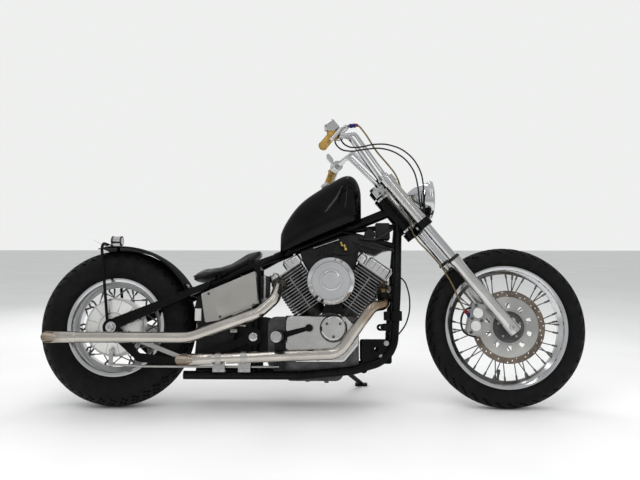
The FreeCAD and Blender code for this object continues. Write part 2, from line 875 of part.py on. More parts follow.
def swing_arm(frame):
    """Two cut plates, one each side: pinned low at the pivot and bolted high to the seat rail's end."""
    legs = []
    half = arm_depth / 2
    blade = arm_blade_depth / 2
    end_x, end_z = seat_rail_end_x, seat_rail_end_z
    for side in (-1, 1):
        inner = side * arm_half_spacing - arm_half_thickness
        outer = side * arm_half_spacing + arm_half_thickness
        low = rounded_side_plate([(pivot_x, pivot_z + half), (arm_low_x, arm_low_z + half),
                                  (arm_dip_x, arm_dip_z + half), (axle_plate_radius, rear_axle_z),
                                  (0, rear_axle_z - axle_plate_radius), (arm_dip_x, arm_dip_z - half),
                                  (arm_low_x, arm_low_z - half), (pivot_x, pivot_z - half)],
                                 arm_corner, inner, outer)
        high = rounded_side_plate([(0, rear_axle_z + axle_plate_radius), (end_x, end_z + blade),
                                   (end_x + blade, end_z), (end_x, end_z - blade),
                                   (axle_plate_radius, rear_axle_z)], arm_corner / 2, inner, outer)
        eye = cross_rod(pivot_radius, pivot_x, pivot_z, inner, outer)
        plate = cross_rod(axle_plate_radius, 0, rear_axle_z, inner, outer)
        rail_y = side * seat_rail_half_spacing
        pin = cross_rod(pivot_pin_radius, pivot_x, pivot_z, min(rail_y, outer), max(rail_y, inner))
        bolt = cross_rod(arm_bolt_radius, end_x, end_z, min(rail_y, outer), max(rail_y, inner))
        face = side * (arm_half_spacing + arm_half_thickness)
        cap = cross_rod(pivot_cover_radius, pivot_x, pivot_z, min(face, face + side * pivot_cover_length),
                        max(face, face + side * pivot_cover_length))
        legs.append(joined(low, high, eye, plate, pin, bolt, cap))
    outer = arm_half_spacing + arm_half_thickness
    axle = cross_rod(rear_axle_radius, 0, rear_axle_z, -outer, outer)
    return together(*[seated(leg, frame, axle) for leg in legs])


def rear_axle_bolt():
    outer = arm_half_spacing + arm_half_thickness
    inner = arm_half_spacing - arm_half_thickness
    bolt = cross_rod(rear_axle_radius, 0, rear_axle_z, -rear_axle_half_length, rear_axle_half_length)
    nuts = [cross_rod(rear_axle_nut_radius, 0, rear_axle_z, outer, rear_axle_half_length),
            cross_rod(rear_axle_nut_radius, 0, rear_axle_z, -rear_axle_half_length, -outer)]
    right_collar = cross_rod(rear_spacer_radius, 0, rear_axle_z, -inner, -brake_panel_outer)
    left_collar = cross_rod(rear_spacer_radius, 0, rear_axle_z, drive_case_outer, inner)
    return joined(bolt, *nuts, right_collar, left_collar)


def brake_panel(axle):
    panel = turned_profile([
        (-brake_panel_inner, 0), (-brake_panel_inner, brake_panel_radius),
        (-(brake_panel_inner + brake_panel_outer) / 2, brake_panel_radius),
        (-brake_panel_outer, brake_panel_dome_radius), (-brake_panel_outer, 0)])
    panel.translate(rear_axle)
    return seated(panel, axle)


def brake_linkage(panel, arm, frame):
    """The cam's lever with its rod to the foot pedal, and the strap that holds the brake panel."""
    cam_z = rear_axle_z - brake_cam_drop
    face = -brake_panel_outer
    shaft = cross_rod(brake_cam_radius, 0, cam_z, face - brake_arm_thickness, -brake_panel_inner)
    lever = rounded_side_plate([(-brake_arm_half_width, cam_z + brake_arm_half_width),
                                (-brake_arm_half_width, cam_z - brake_lever_reach),
                                (brake_arm_half_width, cam_z - brake_lever_reach),
                                (brake_arm_half_width, cam_z + brake_arm_half_width)],
                               brake_arm_half_width / 2, face - brake_arm_thickness, face)
    rod_end_z = cam_z - brake_lever_reach + brake_arm_half_width
    link = bent_tube([Vector(0, face - brake_arm_thickness / 2, rod_end_z),
                      Vector(brake_rod_turn_x, -brake_rod_out_y, brake_rod_z),
                      Vector(pivot_x, -brake_rod_out_y, brake_rod_z),
                      Vector(peg_x, -peg_bracket_y + peg_bracket_half - peg_bracket_thickness, brake_rod_z)],
                     brake_rod_radius, [brake_rod_bend, brake_rod_bend])
    along = math.atan2(torque_arm_front_z - torque_arm_rear_z, torque_arm_front_x - torque_arm_rear_x)
    rise = Vector(-math.sin(along), 0, math.cos(along)) * torque_arm_half_width
    strap_y = -arm_half_spacing + arm_half_thickness
    rear_end = Vector(torque_arm_rear_x, strap_y, torque_arm_rear_z)
    front_end = Vector(torque_arm_front_x, strap_y, torque_arm_front_z)
    corners = [rear_end + rise, rear_end - rise, front_end - rise, front_end + rise]
    strap = Part.Face(rounded_outline(corners, torque_arm_half_width / 2))
    strap = strap.extrude(LEFT * torque_arm_thickness)
    strap_pin = cross_rod(brake_arm_half_width, rear_end.x, rear_end.z, strap_y, -brake_panel_inner)
    linkage = joined(shaft, lever, link)
    stay = joined(strap, strap_pin)
    return together(seated(linkage, panel, arm, frame), seated(stay, panel, arm, frame))


def final_drive(axle, arm, case):
    """The bevel case at the hub, and the drive shaft's tube forward to the engine."""
    hub_case = turned_profile([
        (drive_case_inner, 0), (drive_case_inner, drive_case_radius),
        ((drive_case_inner + drive_case_outer) / 2, drive_case_radius),
        (drive_case_outer, drive_case_neck_radius), (drive_case_outer, 0)])
    hub_case.translate(rear_axle)
    rear_end = Vector(shaft_rear_x, shaft_y, shaft_rear_z)
    front_end = Vector(shaft_front_x, shaft_y, shaft_front_z)
    way = (front_end - rear_end).normalize()
    tube = rod(shaft_tube_radius, rear_end, front_end)
    bell = rod(shaft_bell_radius, front_end - way * shaft_bell_length, front_end)
    nose = cross_rod(shaft_bell_radius, shaft_rear_x, shaft_rear_z, drive_case_inner, shaft_y)
    return seated(joined(hub_case, tube, bell, nose), axle, arm, case)


def seat_posts():
    """Short posts from the rails up into the seat's base, trimmed to it later."""
    posts = []
    for x in seat_post_xs:
        share = (x - seat_rail_end_x) / (seat_rail_knee_x - seat_rail_end_x)
        z = seat_rail_end_z + share * (seat_rail_knee_z - seat_rail_end_z)
        for side in (-1, 1):
            posts.append(fork_rod(seat_post_radius, x, side * seat_rail_half_spacing, z, z + seat_thickness))
    return posts


def crankcase(frame):
    body = rounded_side_plate([(case_rear_x, case_bottom_z), (case_front_x, case_bottom_z),
                               (case_front_x, case_top_z), (case_rear_x, case_top_z)],
                              case_corner, -case_half_width, case_half_width)
    boss = cross_rod(case_boss_radius, crank_x, crank_z, -case_half_width, case_half_width)
    sump = rounded_side_plate([(sump_rear_x, case_top_z), (sump_rear_x, sump_bottom_z),
                               (sump_front_x, sump_bottom_z), (sump_front_x, case_top_z)],
                              case_corner, -sump_half_width, sump_half_width)
    return seated(joined(body, boss, sump), frame)


def cylinder_frame(way):
    """The axes of one cylinder: from the crank, up its bore. way is 1 for the front one."""
    turn = FreeCAD.Rotation(LEFT, way * v_half_deg)
    return FreeCAD.Placement(Vector(crank_x, 0, crank_z), turn)


def cylinder(way, case):
    top = fin_start + fin_count * fin_pitch
    barrel = Part.makeCylinder(barrel_radius, top - barrel_base, Vector(0, 0, barrel_base), UP)
    post = box(-fin_post_width / 2, fin_post_width / 2, -fin_half_width, fin_half_width, fin_start, top)
    pieces = [barrel, post]
    for index in range(fin_count):
        low = fin_start + index * fin_pitch
        pieces.append(rounded_box(fin_half_length, fin_half_width, low, low + fin_thickness, fin_corner))
    body = joined(*pieces)
    body.Placement = cylinder_frame(way)
    return seated(body, case)


def rocker_block(span, cover_low):
    """One rounded block of a rocker cover, with the raised panel on its top."""
    start, end, height_share = span
    half = (end - start) * rocker_half_length / 2
    high = cover_low + height_share * rocker_height
    block = rounded_box(half, rocker_half_width, cover_low, high, rocker_corner)
    block = softened(block, rocker_edge, lambda at: at.z > high - rocker_edge / 2)
    panel = rounded_box(half * rocker_panel_share, rocker_half_width * rocker_panel_share, high,
                        high + rocker_panel_height, rocker_corner * rocker_panel_share)
    block = joined(block, panel)
    block.translate(Vector((start + end) * rocker_half_length / 2, 0, 0))
    return block


def head(way, spans):
    """The finned head and the two blocks of its rocker cover."""
    low = fin_start + fin_count * fin_pitch
    cover_low = low + head_height
    pieces = [rounded_box(head_half_length, head_half_width, low, cover_low, head_corner)]
    for index in range(head_fin_count):
        fin_low = low + index * fin_pitch
        pieces.append(rounded_box(fin_half_length, fin_half_width, fin_low, fin_low + fin_thickness, fin_corner))
    shelf = rounded_box(rocker_half_length, rocker_half_width, cover_low - fin_thickness, cover_low,
                        rocker_corner)
    whole = joined(*pieces, shelf, *[rocker_block(span, cover_low) for span in spans])
    whole.Placement = cylinder_frame(way)
    return whole


def case_cover(side, case):
    """A side cover drawn in outline, softened at its face, with the domed round cover on it."""
    width = cover_front_x - cover_rear_x
    height = cover_top_z - cover_bottom_z
    outline = [(cover_rear_x + across * width, cover_bottom_z + up * height)
               for across, up in cover_outline_shares]
    outer = -case_half_width - cover_thickness
    shell = rounded_side_plate(outline, cover_corner, outer, -case_half_width)
    shell = softened(shell, cover_edge, lambda at: at.y < outer + cover_edge / 2)
    groove = cross_rod(round_cover_radius + round_cover_groove, round_cover_x, round_cover_z, outer,
                       outer + round_cover_groove)
    face = outer - round_cover_depth
    dome = cross_rod(round_cover_radius, round_cover_x, round_cover_z, face, -case_half_width)
    dome = softened(dome, round_cover_dome, lambda at: at.y < face + round_cover_dome / 2)
    whole = joined(shell.cut(groove), dome)
    reach = round_cover_radius * round_cover_bolt_share
    for degrees in round_cover_bolt_degs:
        angle = math.radians(degrees)
        whole = whole.cut(cross_rod(round_cover_bolt_radius, round_cover_x + reach * math.cos(angle),
                                    round_cover_z + reach * math.sin(angle), face, face + round_cover_groove))
    return seated(mirrored(whole) if side > 0 else whole, case)


def air_cleaner():
    outer = -cleaner_inner_y - cleaner_depth
    shell = turned_profile([
        (-cleaner_inner_y, 0), (-cleaner_inner_y, cleaner_radius), (outer + cleaner_edge, cleaner_radius),
        (outer, cleaner_lip_radius), (outer, cleaner_boss_radius), (outer - cleaner_boss_height, cleaner_boss_radius),
        (outer - cleaner_boss_height, 0)])
    shell.translate(Vector(cleaner_x, 0, cleaner_z))
    return shell


def carburettor(solids):
    body = Part.makeCylinder(carb_half_width, carb_high_z - carb_low_z, Vector(cleaner_x, 0, carb_low_z), UP)
    throat = cross_rod(carb_radius, cleaner_x, cleaner_z, -cleaner_inner_y, 0)
    return seated(joined(body, throat), *solids)


def slash_cut(tip_x, z):
    """Takes the outer side of a pipe's end away, so that its mouth faces out and back."""
    near = -pipe_y - pipe_radius
    far = -pipe_y + pipe_radius
    low = z - slash_height / 2
    outline = [Vector(tip_x - slash_length, far, low), Vector(tip_x, far, low),
               Vector(tip_x + slash_length, near, low), Vector(tip_x + slash_length, near - pipe_radius, low),
               Vector(tip_x - slash_length, near - pipe_radius, low)]
    wire = Part.makePolygon(outline + outline[:1])
    return Part.Face(wire).extrude(Vector(0, 0, slash_height))


def exhaust(points, bends, tip_x, tip_z):
    outer = bent_tube(points, pipe_radius, bends)
    bore = rod(pipe_radius - pipe_wall, points[0], points[0] + Vector(slash_length * 2, 0, 0))
    return outer.cut(bore).cut(slash_cut(tip_x, tip_z))


def upper_exhaust(*carriers):
    points = [Vector(upper_tip_x, -pipe_y, upper_pipe_z), Vector(upper_bend_x, -pipe_y, upper_pipe_z),
              Vector(upper_rise_x, -pipe_y, upper_rise_z), Vector(upper_knee_x, -upper_knee_y, upper_knee_z),
              Vector(upper_port_x, -upper_port_y, upper_port_z)]
    pipe = exhaust(points, [pipe_bend * 2, pipe_bend, pipe_port_bend], upper_tip_x, upper_pipe_z)
    return seated(pipe, *carriers)


def exhaust_hangers(pipe_parts, frame):
    """Straps from the lower pipe down and in to the frame rail."""
    low = rail_z + rail_radius - hanger_thickness / 2
    straps = []
    for x in hanger_xs:
        drop = box(x - hanger_half_length, x + hanger_half_length, -hanger_drop_y - hanger_thickness,
                   -hanger_drop_y, low, lower_pipe_z_rear)
        foot = box(x - hanger_half_length, x + hanger_half_length, -hanger_drop_y, -downtube_half_spacing,
                   low, low + hanger_thickness)
        straps.append(seated(joined(drop, foot), pipe_parts, frame))
    return together(*straps)


def lower_exhaust(*carriers):
    points = [Vector(lower_tip_x, -pipe_y, lower_pipe_z_rear), Vector(lower_bend_x, -pipe_y, lower_pipe_z_front),
              Vector(lower_rise_x, -pipe_y, lower_rise_z), Vector(lower_top_x, -pipe_y, lower_top_z),
              Vector(lower_knee_x, -lower_knee_y, lower_knee_z),
              Vector(lower_port_x, -lower_port_y, lower_port_z)]
    bends = [pipe_bend, pipe_bend, pipe_port_bend, pipe_port_bend]
    pipe = exhaust(points, bends, lower_tip_x, lower_pipe_z_rear)
    return seated(pipe, *carriers)


def tank_section(x, height_share, width_share):
    base = backbone_z(x) + backbone_radius + tank_seat_gap - tank_skirt
    height = height_share * tank_height
    half = width_share * tank_half_width
    right = [Vector(x, -half * across, base + height * up) for across, up in tank_section_shares]
    left = flipped(reversed(right))
    top = Vector(x, 0, base + height)
    curve = Part.BSplineCurve()
    curve.interpolate(right + [top] + left)
    floor = Part.LineSegment(left[-1], right[0])
    return Part.Wire([curve.toShape(), floor.toShape()])


def fuel_tank(frame):
    length = tank_front_x - tank_rear_x
    sections = []
    for station, top, width in zip(tank_station_shares, tank_top_shares, tank_width_shares):
        sections.append(tank_section(tank_rear_x + station * length, top, width))
    body = Part.makeLoft(sections, True, False)
    tunnel = rod(backbone_radius + tank_seat_gap, stem_point(backbone_meets_neck),
                 Vector(backbone_end_x, 0, backbone_end_z))
    return seated(body.cut(tunnel), frame)


def tank_cap(tank):
    top = tank_height_at(cap_x)
    cap = Part.makeCylinder(cap_radius, cap_height + cap_sink, Vector(0, 0, -cap_sink), UP)
    cap.rotate(ORIGIN, LEFT, cap_tilt_deg)
    cap.translate(Vector(cap_x, 0, top))
    return seated(cap, tank)


def tank_height_at(x):
    """The tank's crown at x, between the two sections beside it."""
    share = (x - tank_rear_x) / (tank_front_x - tank_rear_x)
    for index in range(1, len(tank_station_shares)):
        if tank_station_shares[index] >= share:
            break
    before, after = tank_station_shares[index - 1], tank_station_shares[index]
    part_way = (share - before) / (after - before)
    top = tank_top_shares[index - 1] + part_way * (tank_top_shares[index] - tank_top_shares[index - 1])
    return backbone_z(x) + backbone_radius + tank_seat_gap - tank_skirt + top * tank_height


def smooth_line(points):
    curve = Part.BSplineCurve()
    curve.interpolate(points)
    return curve.toShape()


def seat_outline(y):
    """The seat's side view: a dished top and the base that follows the rails."""
    length = seat_front_x - seat_rear_x
    rise = seat_front_z - seat_rear_z
    top = [Vector(seat_rear_x + along * length, y, seat_rear_z + up * rise) for along, up in seat_top_shares]
    base = [Vector(seat_rear_x + along * length, y, seat_rear_z + up * rise)
            for along, up in seat_base_shares]
    edges = [smooth_line(top), Part.LineSegment(top[-1], base[-1]).toShape(), smooth_line(base),
             Part.LineSegment(base[0], top[0]).toShape()]
    return Part.Face(Part.Wire(Part.__sortEdges__(edges)))


def seat():
    side = seat_outline(-seat_half_width).extrude(Vector(0, 2 * seat_half_width, 0))
    length = seat_front_x - seat_rear_x
    low = seat_rear_z - seat_plan_height / 2
    right = [Vector(seat_rear_x + along * length, -across * seat_half_width, low)
             for along, across in seat_plan_shares]
    left = flipped(reversed(right))
    plan = Part.Wire([smooth_line(right), Part.LineSegment(right[-1], left[0]).toShape(), smooth_line(left),
                      Part.LineSegment(left[-1], right[0]).toShape()])
    return side.common(Part.Face(plan).extrude(Vector(0, 0, seat_plan_height)))


def side_boxes(frame, arm):
    right = rounded_side_plate([(box_rear_x, box_rear_top_z), (box_front_x, box_front_top_z),
                                (box_front_x + box_lean, box_front_low_z), (box_low_x, box_low_z),
                                (box_corner_x, box_corner_z)], box_corner, -box_outer_y, -box_inner_y)
    right = seated(right, frame, arm)
    return together(right, mirrored(right))


def battery_box(frame, boxes):
    case = box(battery_rear_x, battery_front_x, -battery_half_width, battery_half_width,
               battery_bottom_z, battery_top_z)
    return seated(case, frame, boxes)


def around_rear_axle(radius, degrees, y):
    """A point at a radius from the rear axle, degrees up from straight ahead."""
    angle = math.radians(degrees)
    return Vector(radius * math.cos(angle), y, rear_axle_z + radius * math.sin(angle))


def rear_fender(arm, frame):
    inner = rear_tyre_radius + fender_gap
    outer = inner + fender_thickness
    section = []
    for crown in (inner, outer):
        section.append((Vector(0, -fender_half_width, crown - fender_edge_drop), Vector(0, 0, crown),
                        Vector(0, fender_half_width, crown - fender_edge_drop)))
    low, high = section
    wire = Part.Wire([Part.Arc(*low).toShape(), Part.LineSegment(low[2], high[2]).toShape(),
                      Part.Arc(*high).toShape(), Part.LineSegment(high[0], low[0]).toShape()])
    face = Part.Face(Part.Wire(Part.__sortEdges__(wire.Edges)))
    face.rotate(ORIGIN, LEFT, quarter_turn - fender_front_deg)
    shell = face.revolve(ORIGIN, LEFT, fender_front_deg - fender_rear_deg)
    shell.translate(rear_axle)
    tie = Vector(seat_rail_end_x, 0, seat_rail_end_z)
    tie_deg = math.degrees(math.atan2(seat_rail_end_z - rear_axle_z, seat_rail_end_x))
    feet = []
    for y in (-fender_foot_y, fender_foot_y):
        feet.append(rod(fender_foot_radius, around_rear_axle(inner + fender_thickness / 2, tie_deg, y),
                        tie + Vector(0, y, 0)))
    return seated(joined(shell, *feet), arm, frame)


def fender_hoop(fender, arm):
    top_z = rear_axle_z + rear_tyre_radius + fender_gap + fender_thickness + strut_radius
    hoop = bent_tube([Vector(strut_foot_x, -strut_y, strut_foot_z), Vector(strut_top_x, -strut_y, top_z),
                      Vector(strut_top_x, strut_y, top_z), Vector(strut_foot_x, strut_y, strut_foot_z)],
                     strut_radius, [strut_bend, strut_bend])
    return seated(hoop, fender, arm)


def tail_lamp(fender, hoop):
    base = rear_axle_z + rear_tyre_radius + fender_gap
    centre = base + lamp_rise + lamp_radius
    body = rod(lamp_radius, Vector(lamp_x - lamp_length / 2, 0, centre),
               Vector(lamp_x + lamp_length / 2, 0, centre))
    foot = box(lamp_x - lamp_foot_half, lamp_x + lamp_foot_half, -lamp_foot_half, lamp_foot_half, base, centre)
    return seated(joined(body, foot), fender, hoop)


def plate_holder(fender, lamp, hoop):
    middle_radius = rear_tyre_radius + fender_gap + fender_thickness / 2
    start = around_rear_axle(middle_radius, fender_rear_deg - plate_overlap_deg, 0)
    plate = box(-plate_height, 0, -plate_half_width, plate_half_width, 0, plate_thickness)
    plate.rotate(ORIGIN, LEFT, plate_tilt_deg)
    plate.translate(start)
    return seated(plate, fender, lamp, hoop)


def foot_peg(side, frame):
    inner = peg_bracket_y - peg_bracket_half
    bracket = side_plate([(peg_x - peg_bracket_half, rail_z), (peg_x + peg_bracket_half, rail_z),
                          (peg_x + peg_radius, peg_z), (peg_x - peg_radius, peg_z)],
                         -peg_bracket_y + peg_bracket_half - peg_bracket_thickness, -inner)
    boss = cross_rod(peg_radius, peg_x, peg_z, -peg_inner_y, -inner)
    peg = cross_rod(peg_radius + peg_rubber, peg_x, peg_z, -peg_inner_y - peg_length, -peg_inner_y)
    whole = seated(joined(bracket, boss, peg), frame)
    return mirrored(whole) if side > 0 else whole


def foot_lever(side, peg):
    """A flat tapered arm from an eye round the peg's boss to a round pad."""
    y = -peg_inner_y + pedal_radius
    eye_centre = Vector(peg_x, y - pedal_arm_thickness / 2, peg_z)
    pad_centre = Vector(pedal_x, y - pedal_arm_thickness / 2, pedal_z)
    rise = (pad_centre - eye_centre).normalize().cross(LEFT) * -1
    corners = [eye_centre + rise * pedal_arm_half_depth, eye_centre - rise * pedal_arm_half_depth,
               pad_centre - rise * pedal_arm_tip_half_depth, pad_centre + rise * pedal_arm_tip_half_depth]
    arm = Part.Face(rounded_outline(corners, pedal_arm_tip_half_depth / 2)).extrude(LEFT * pedal_arm_thickness)
    eye = cross_rod(peg_radius + pedal_radius, peg_x, peg_z, y - pedal_radius, y + pedal_radius)
    pad = cross_rod(pedal_pad_radius, pedal_x, pedal_z, y - pedal_pad_length, y + pedal_radius)
    whole = joined(arm, eye, pad)
    return seated(mirrored(whole) if side > 0 else whole, peg)


def in_fork(*shapes):
    """Takes shapes from the fork's own frame, its legs upright, into the bike's."""
    placed = []
    for shape in shapes:
        shape.Placement = fork_frame.multiply(shape.Placement)
        placed.append(shape)
    return placed


def fork_rod(radius, x, y, z_from, z_to):
    return rod(radius, Vector(x, y, z_from), Vector(x, y, z_to))


def yoke(height):
    low = height - yoke_thickness / 2
    high = height + yoke_thickness / 2
    bosses = [fork_rod(yoke_boss_radius, 0, side * leg_half_spacing, low, high) for side in (-1, 1)]
    bridge = box(-yoke_half_depth, yoke_half_depth, -leg_half_spacing, leg_half_spacing, low, high)
    nose = fork_rod(stem_boss_radius, -stem_offset, 0, low, high)
    neck = box(-stem_offset, 0, -stem_boss_radius, stem_boss_radius, low, high)
    return joined(*bosses, bridge, nose, neck)


def fork():
    sides = (-1, 1)
    axle = cross_rod(front_axle_radius, 0, 0, -front_axle_half_length, front_axle_half_length)
    solid_sliders = []
    for side in sides:
        y = side * leg_half_spacing
        tube = fork_rod(slider_radius, 0, y, -slider_foot, slider_length)
        collar = fork_rod(slider_collar_radius, 0, y, slider_length - slider_collar_height, slider_length)
        lug = box(-slider_foot, slider_foot, y - slider_lug_width / 2, y + slider_lug_width / 2,
                  -slider_foot, slider_foot)
        solid_sliders.append(joined(tube, collar, lug))
    legs = [fork_rod(leg_radius, 0, side * leg_half_spacing, slider_length / 2, leg_top) for side in sides]
    sliders = [seated(slider, axle, leg) for slider, leg in zip(solid_sliders, legs)]
    nut_in = leg_half_spacing
    nuts = [cross_rod(front_axle_nut_radius, 0, 0, nut_in, front_axle_half_length),
            cross_rod(front_axle_nut_radius, 0, 0, -front_axle_half_length, -nut_in)]
    collars = [cross_rod(front_spacer_radius, 0, 0, front_hub_half_width + pin_gap, nut_in),
               cross_rod(front_spacer_radius, 0, 0, -nut_in, -front_hub_half_width - front_cap_length - pin_gap)]
    ends = [seated(piece, *solid_sliders) for piece in nuts + collars]
    axle = joined(axle, *ends)
    stem = fork_rod(stem_radius, -stem_offset, 0, lower_yoke_height, upper_yoke_height + yoke_thickness / 2)
    low_yoke = seated(joined(yoke(lower_yoke_height), stem), *legs)
    high_yoke = seated(yoke(upper_yoke_height), stem, *legs)
    cover_low = lower_yoke_height + yoke_thickness / 2
    cover_high = upper_yoke_height - yoke_thickness / 2
    shrouds = [seated(fork_rod(shroud_radius, 0, side * leg_half_spacing, cover_low, cover_high), leg)
               for side, leg in zip(sides, legs)]
    return {"front_axle": axle, "fork_sliders": together(*sliders), "fork_legs": together(*legs),
            "lower_yoke": low_yoke, "upper_yoke": high_yoke, "fork_shrouds": together(*shrouds)}


def bar_route(side):
    knee_height = bar_foot_height + bar_knee_rise
    return [Vector(bar_back, side * bar_foot_y, bar_foot_height),
            Vector(bar_back, side * bar_knee_y, knee_height),
            Vector(bar_elbow_back, side * bar_elbow_y, bar_foot_height + bar_elbow_rise),
            Vector(bar_end_back, side * bar_end_y, bar_foot_height + bar_end_rise)]


def handlebar():
    pieces = []
    for side in (-1, 1):
        route = bar_route(side)
        pieces.append(bent_tube(route, bar_radius, [bar_bend, bar_bend]))
        front = bar_back + bar_pair_gap
        join = route[1] + (route[2] - route[1]) * bar_join_share
        pieces.append(bent_tube([Vector(front, side * bar_foot_y, bar_foot_height),
                                 Vector(front, side * bar_knee_y * bar_pair_knee_share, route[1].z), join],
                                bar_radius * bar_pair_share, [bar_bend / 2]))
        for x in (bar_back, front):
            pieces.append(fork_rod(riser_radius, x, side * bar_foot_y, bar_foot_height,
                                   bar_foot_height + riser_length))
    return joined(*pieces)


def along_bar(side, run, distance):
    """A point that far back along one run of the bar, from its outer end."""
    route = bar_route(side)
    start, end = route[run], route[run + 1]
    return end - (end - start).normalize() * distance


def grips(bar):
    solids = []
    for side in (-1, 1):
        end = along_bar(side, 2, -grip_overhang)
        solids.append(seated(rod(grip_radius, along_bar(side, 2, grip_length), end), bar))
    return together(*solids)


def control(side, bar, grip_solids, reservoir):
    """A clamp on the bar by one grip, its lever and what stands on it."""
    clamp = rod(housing_radius, along_bar(side, 1, housing_near), along_bar(side, 1, housing_near + housing_length))
    root = along_bar(side, 1, housing_near + housing_length / 2) + Vector(lever_forward, 0, 0)
    tip = along_bar(side, 2, -grip_overhang) + Vector(lever_forward, 0, 0)
    bend = along_bar(side, 2, grip_length) + Vector(lever_forward, 0, 0)
    lever = bent_tube([root, bend, tip], lever_radius, [bar_bend])
    lug = rod(lever_radius * 2, along_bar(side, 1, housing_near + housing_length / 2), root)
    pieces = [clamp, lever, lug]
    middle = along_bar(side, 1, housing_near + housing_length / 2)
    if reservoir:
        tank = box(-master_half_width, master_half_width, -master_half_length, master_half_length, 0, master_height)
        tank.translate(middle + Vector(0, 0, master_rise - master_height / 2))
        pieces.append(tank)
    else:
        mirror = box(-mirror_thickness / 2, mirror_thickness / 2, -mirror_half_length, mirror_half_length,
                     0, 2 * mirror_half_height)
        mirror.translate(middle + Vector(0, 0, master_rise))
        stalk = rod(lever_radius, middle, middle + Vector(0, 0, master_rise + mirror_half_height))
        pieces.extend([mirror, stalk])
    return seated(joined(*pieces), bar, grip_solids)


def brake_caliper(sliders, hub_y):
    """Built at the top of the disc, then turned back round the axle to its place."""
    disc_middle = -hub_y - disc_thickness / 2
    slot = disc_thickness / 2 + caliper_gap
    low = disc_radius - caliper_depth
    high = disc_radius + caliper_gap + caliper_wall
    body = box(-caliper_half_length, caliper_half_length, disc_middle - slot - caliper_outer_reach,
               disc_middle + slot + caliper_inner_reach, low, high)
    body = body.makeFillet(caliper_corner, edges_along(body, LEFT))
    gap = cross_rod(disc_radius + caliper_gap, 0, 0, disc_middle - slot, disc_middle + slot)
    face = disc_middle - slot - caliper_outer_reach
    pistons = [cross_rod(piston_radius, x, (low + high) / 2, face - piston_height, face)
               for x in (-piston_spacing, piston_spacing)]
    body = joined(body.cut(gap), *pistons)
    body.rotate(ORIGIN, LEFT, -caliper_turn_deg)
    return seated(body, sliders)


def headlamp(low_yoke, high_yoke):
    height = lower_yoke_height + headlamp_height_share * (upper_yoke_height - lower_yoke_height)
    centre = front_axle + leg_up * height + leg_forward * headlamp_forward
    nose = centre.x + headlamp_length / 2
    back = nose - headlamp_length
    shell_profile = [Vector(back, 0, 0), Vector(back, 0, headlamp_tail_radius)]
    bulge = Vector(back + headlamp_length * lamp_bulge_share, 0, headlamp_radius * lamp_bulge_height_share)
    shoulder = Vector(nose - headlamp_rim, 0, headlamp_radius - headlamp_wall)
    rim_back = Vector(nose - headlamp_rim, 0, headlamp_radius)
    rim_front = Vector(nose, 0, headlamp_radius)
    seat_front = Vector(nose, 0, headlamp_radius - headlamp_wall)
    seat_back = Vector(nose - lens_thickness, 0, headlamp_radius - headlamp_wall)
    middle = Vector(nose - lens_thickness, 0, 0)
    edges = [Part.LineSegment(shell_profile[0], shell_profile[1]), Part.Arc(shell_profile[1], bulge, shoulder),
             Part.LineSegment(shoulder, rim_back), Part.LineSegment(rim_back, rim_front),
             Part.LineSegment(rim_front, seat_front), Part.LineSegment(seat_front, seat_back),
             Part.LineSegment(seat_back, middle), Part.LineSegment(middle, shell_profile[0])]
    shell = Part.Face(Part.Wire([edge.toShape() for edge in edges])).revolve(ORIGIN, FORWARD, full_turn)
    lens = rod(headlamp_radius - headlamp_wall, Vector(nose - lens_thickness, 0, 0), Vector(nose, 0, 0))
    for piece in (shell, lens):
        piece.translate(Vector(0, 0, centre.z))
    stay = rod(lamp_stay_radius, centre, stem_point(lower_yoke_height) + leg_forward * stem_offset)
    shell = seated(joined(shell, stay), low_yoke, high_yoke, lens)
    return shell, lens


def ground_z(y):
    """Height of the floor in the upright frame, at y, once the bike leans."""
    return y * math.tan(lean)


def stand_folded_way():
    """The folded leg points back, a little outwards and upwards."""
    out = math.radians(stand_folded_out_deg)
    up = math.radians(stand_folded_up_deg)
    return Vector(-math.cos(out) * math.cos(up), math.sin(out) * math.cos(up), math.sin(up))


def stand_axis():
    leg = stand_foot_point() - stand_pivot_point()
    return leg.cross(stand_folded_way()).normalize()


def stand_pivot_point():
    return Vector(stand_pivot_x, stand_lug_y, stand_lug_z)


def stand_foot_point():
    floor_up = Vector(0, -math.sin(lean), math.cos(lean))
    return Vector(stand_foot_x, stand_foot_y, ground_z(stand_foot_y)) + floor_up * stand_foot_thickness


def stand_bracket(frame):
    pivot = stand_pivot_point()
    axis = stand_axis()
    half = stand_eye_height / 2
    pin_start = pivot - axis * (half + pin_gap + stand_lug_gap)
    pin = rod(stand_pin_radius, pin_start, pivot + axis * (half + stand_plate))
    head = rod(stand_eye_radius, pin_start, pivot - axis * (half + pin_gap))
    plate_low = pivot + axis * (half + pin_gap)
    plate = rod(stand_eye_radius, plate_low, plate_low + axis * stand_plate)
    inward = FORWARD.cross(axis).normalize()
    if inward.y > 0:
        inward = -inward
    clear = plate_low + inward * (stand_eye_radius + stand_lug_gap)
    rail_z_here = rail_height_at(stand_pivot_x)
    corners = [plate_low, plate_low + axis * stand_plate,
               Vector(stand_pivot_x, downtube_half_spacing, rail_z_here + rail_radius),
               Vector(stand_pivot_x, downtube_half_spacing, rail_z_here), clear]
    start = [corner - FORWARD * stand_web_half for corner in [Vector(pivot.x, c.y, c.z) for c in corners]]
    web = Part.Face(Part.makePolygon(start + start[:1])).extrude(FORWARD * 2 * stand_web_half)
    web = web.cut(rod(stand_eye_radius + stand_lug_gap, pivot - axis * stand_eye_height, plate_low))
    return seated(joined(pin, head, plate, web), frame)


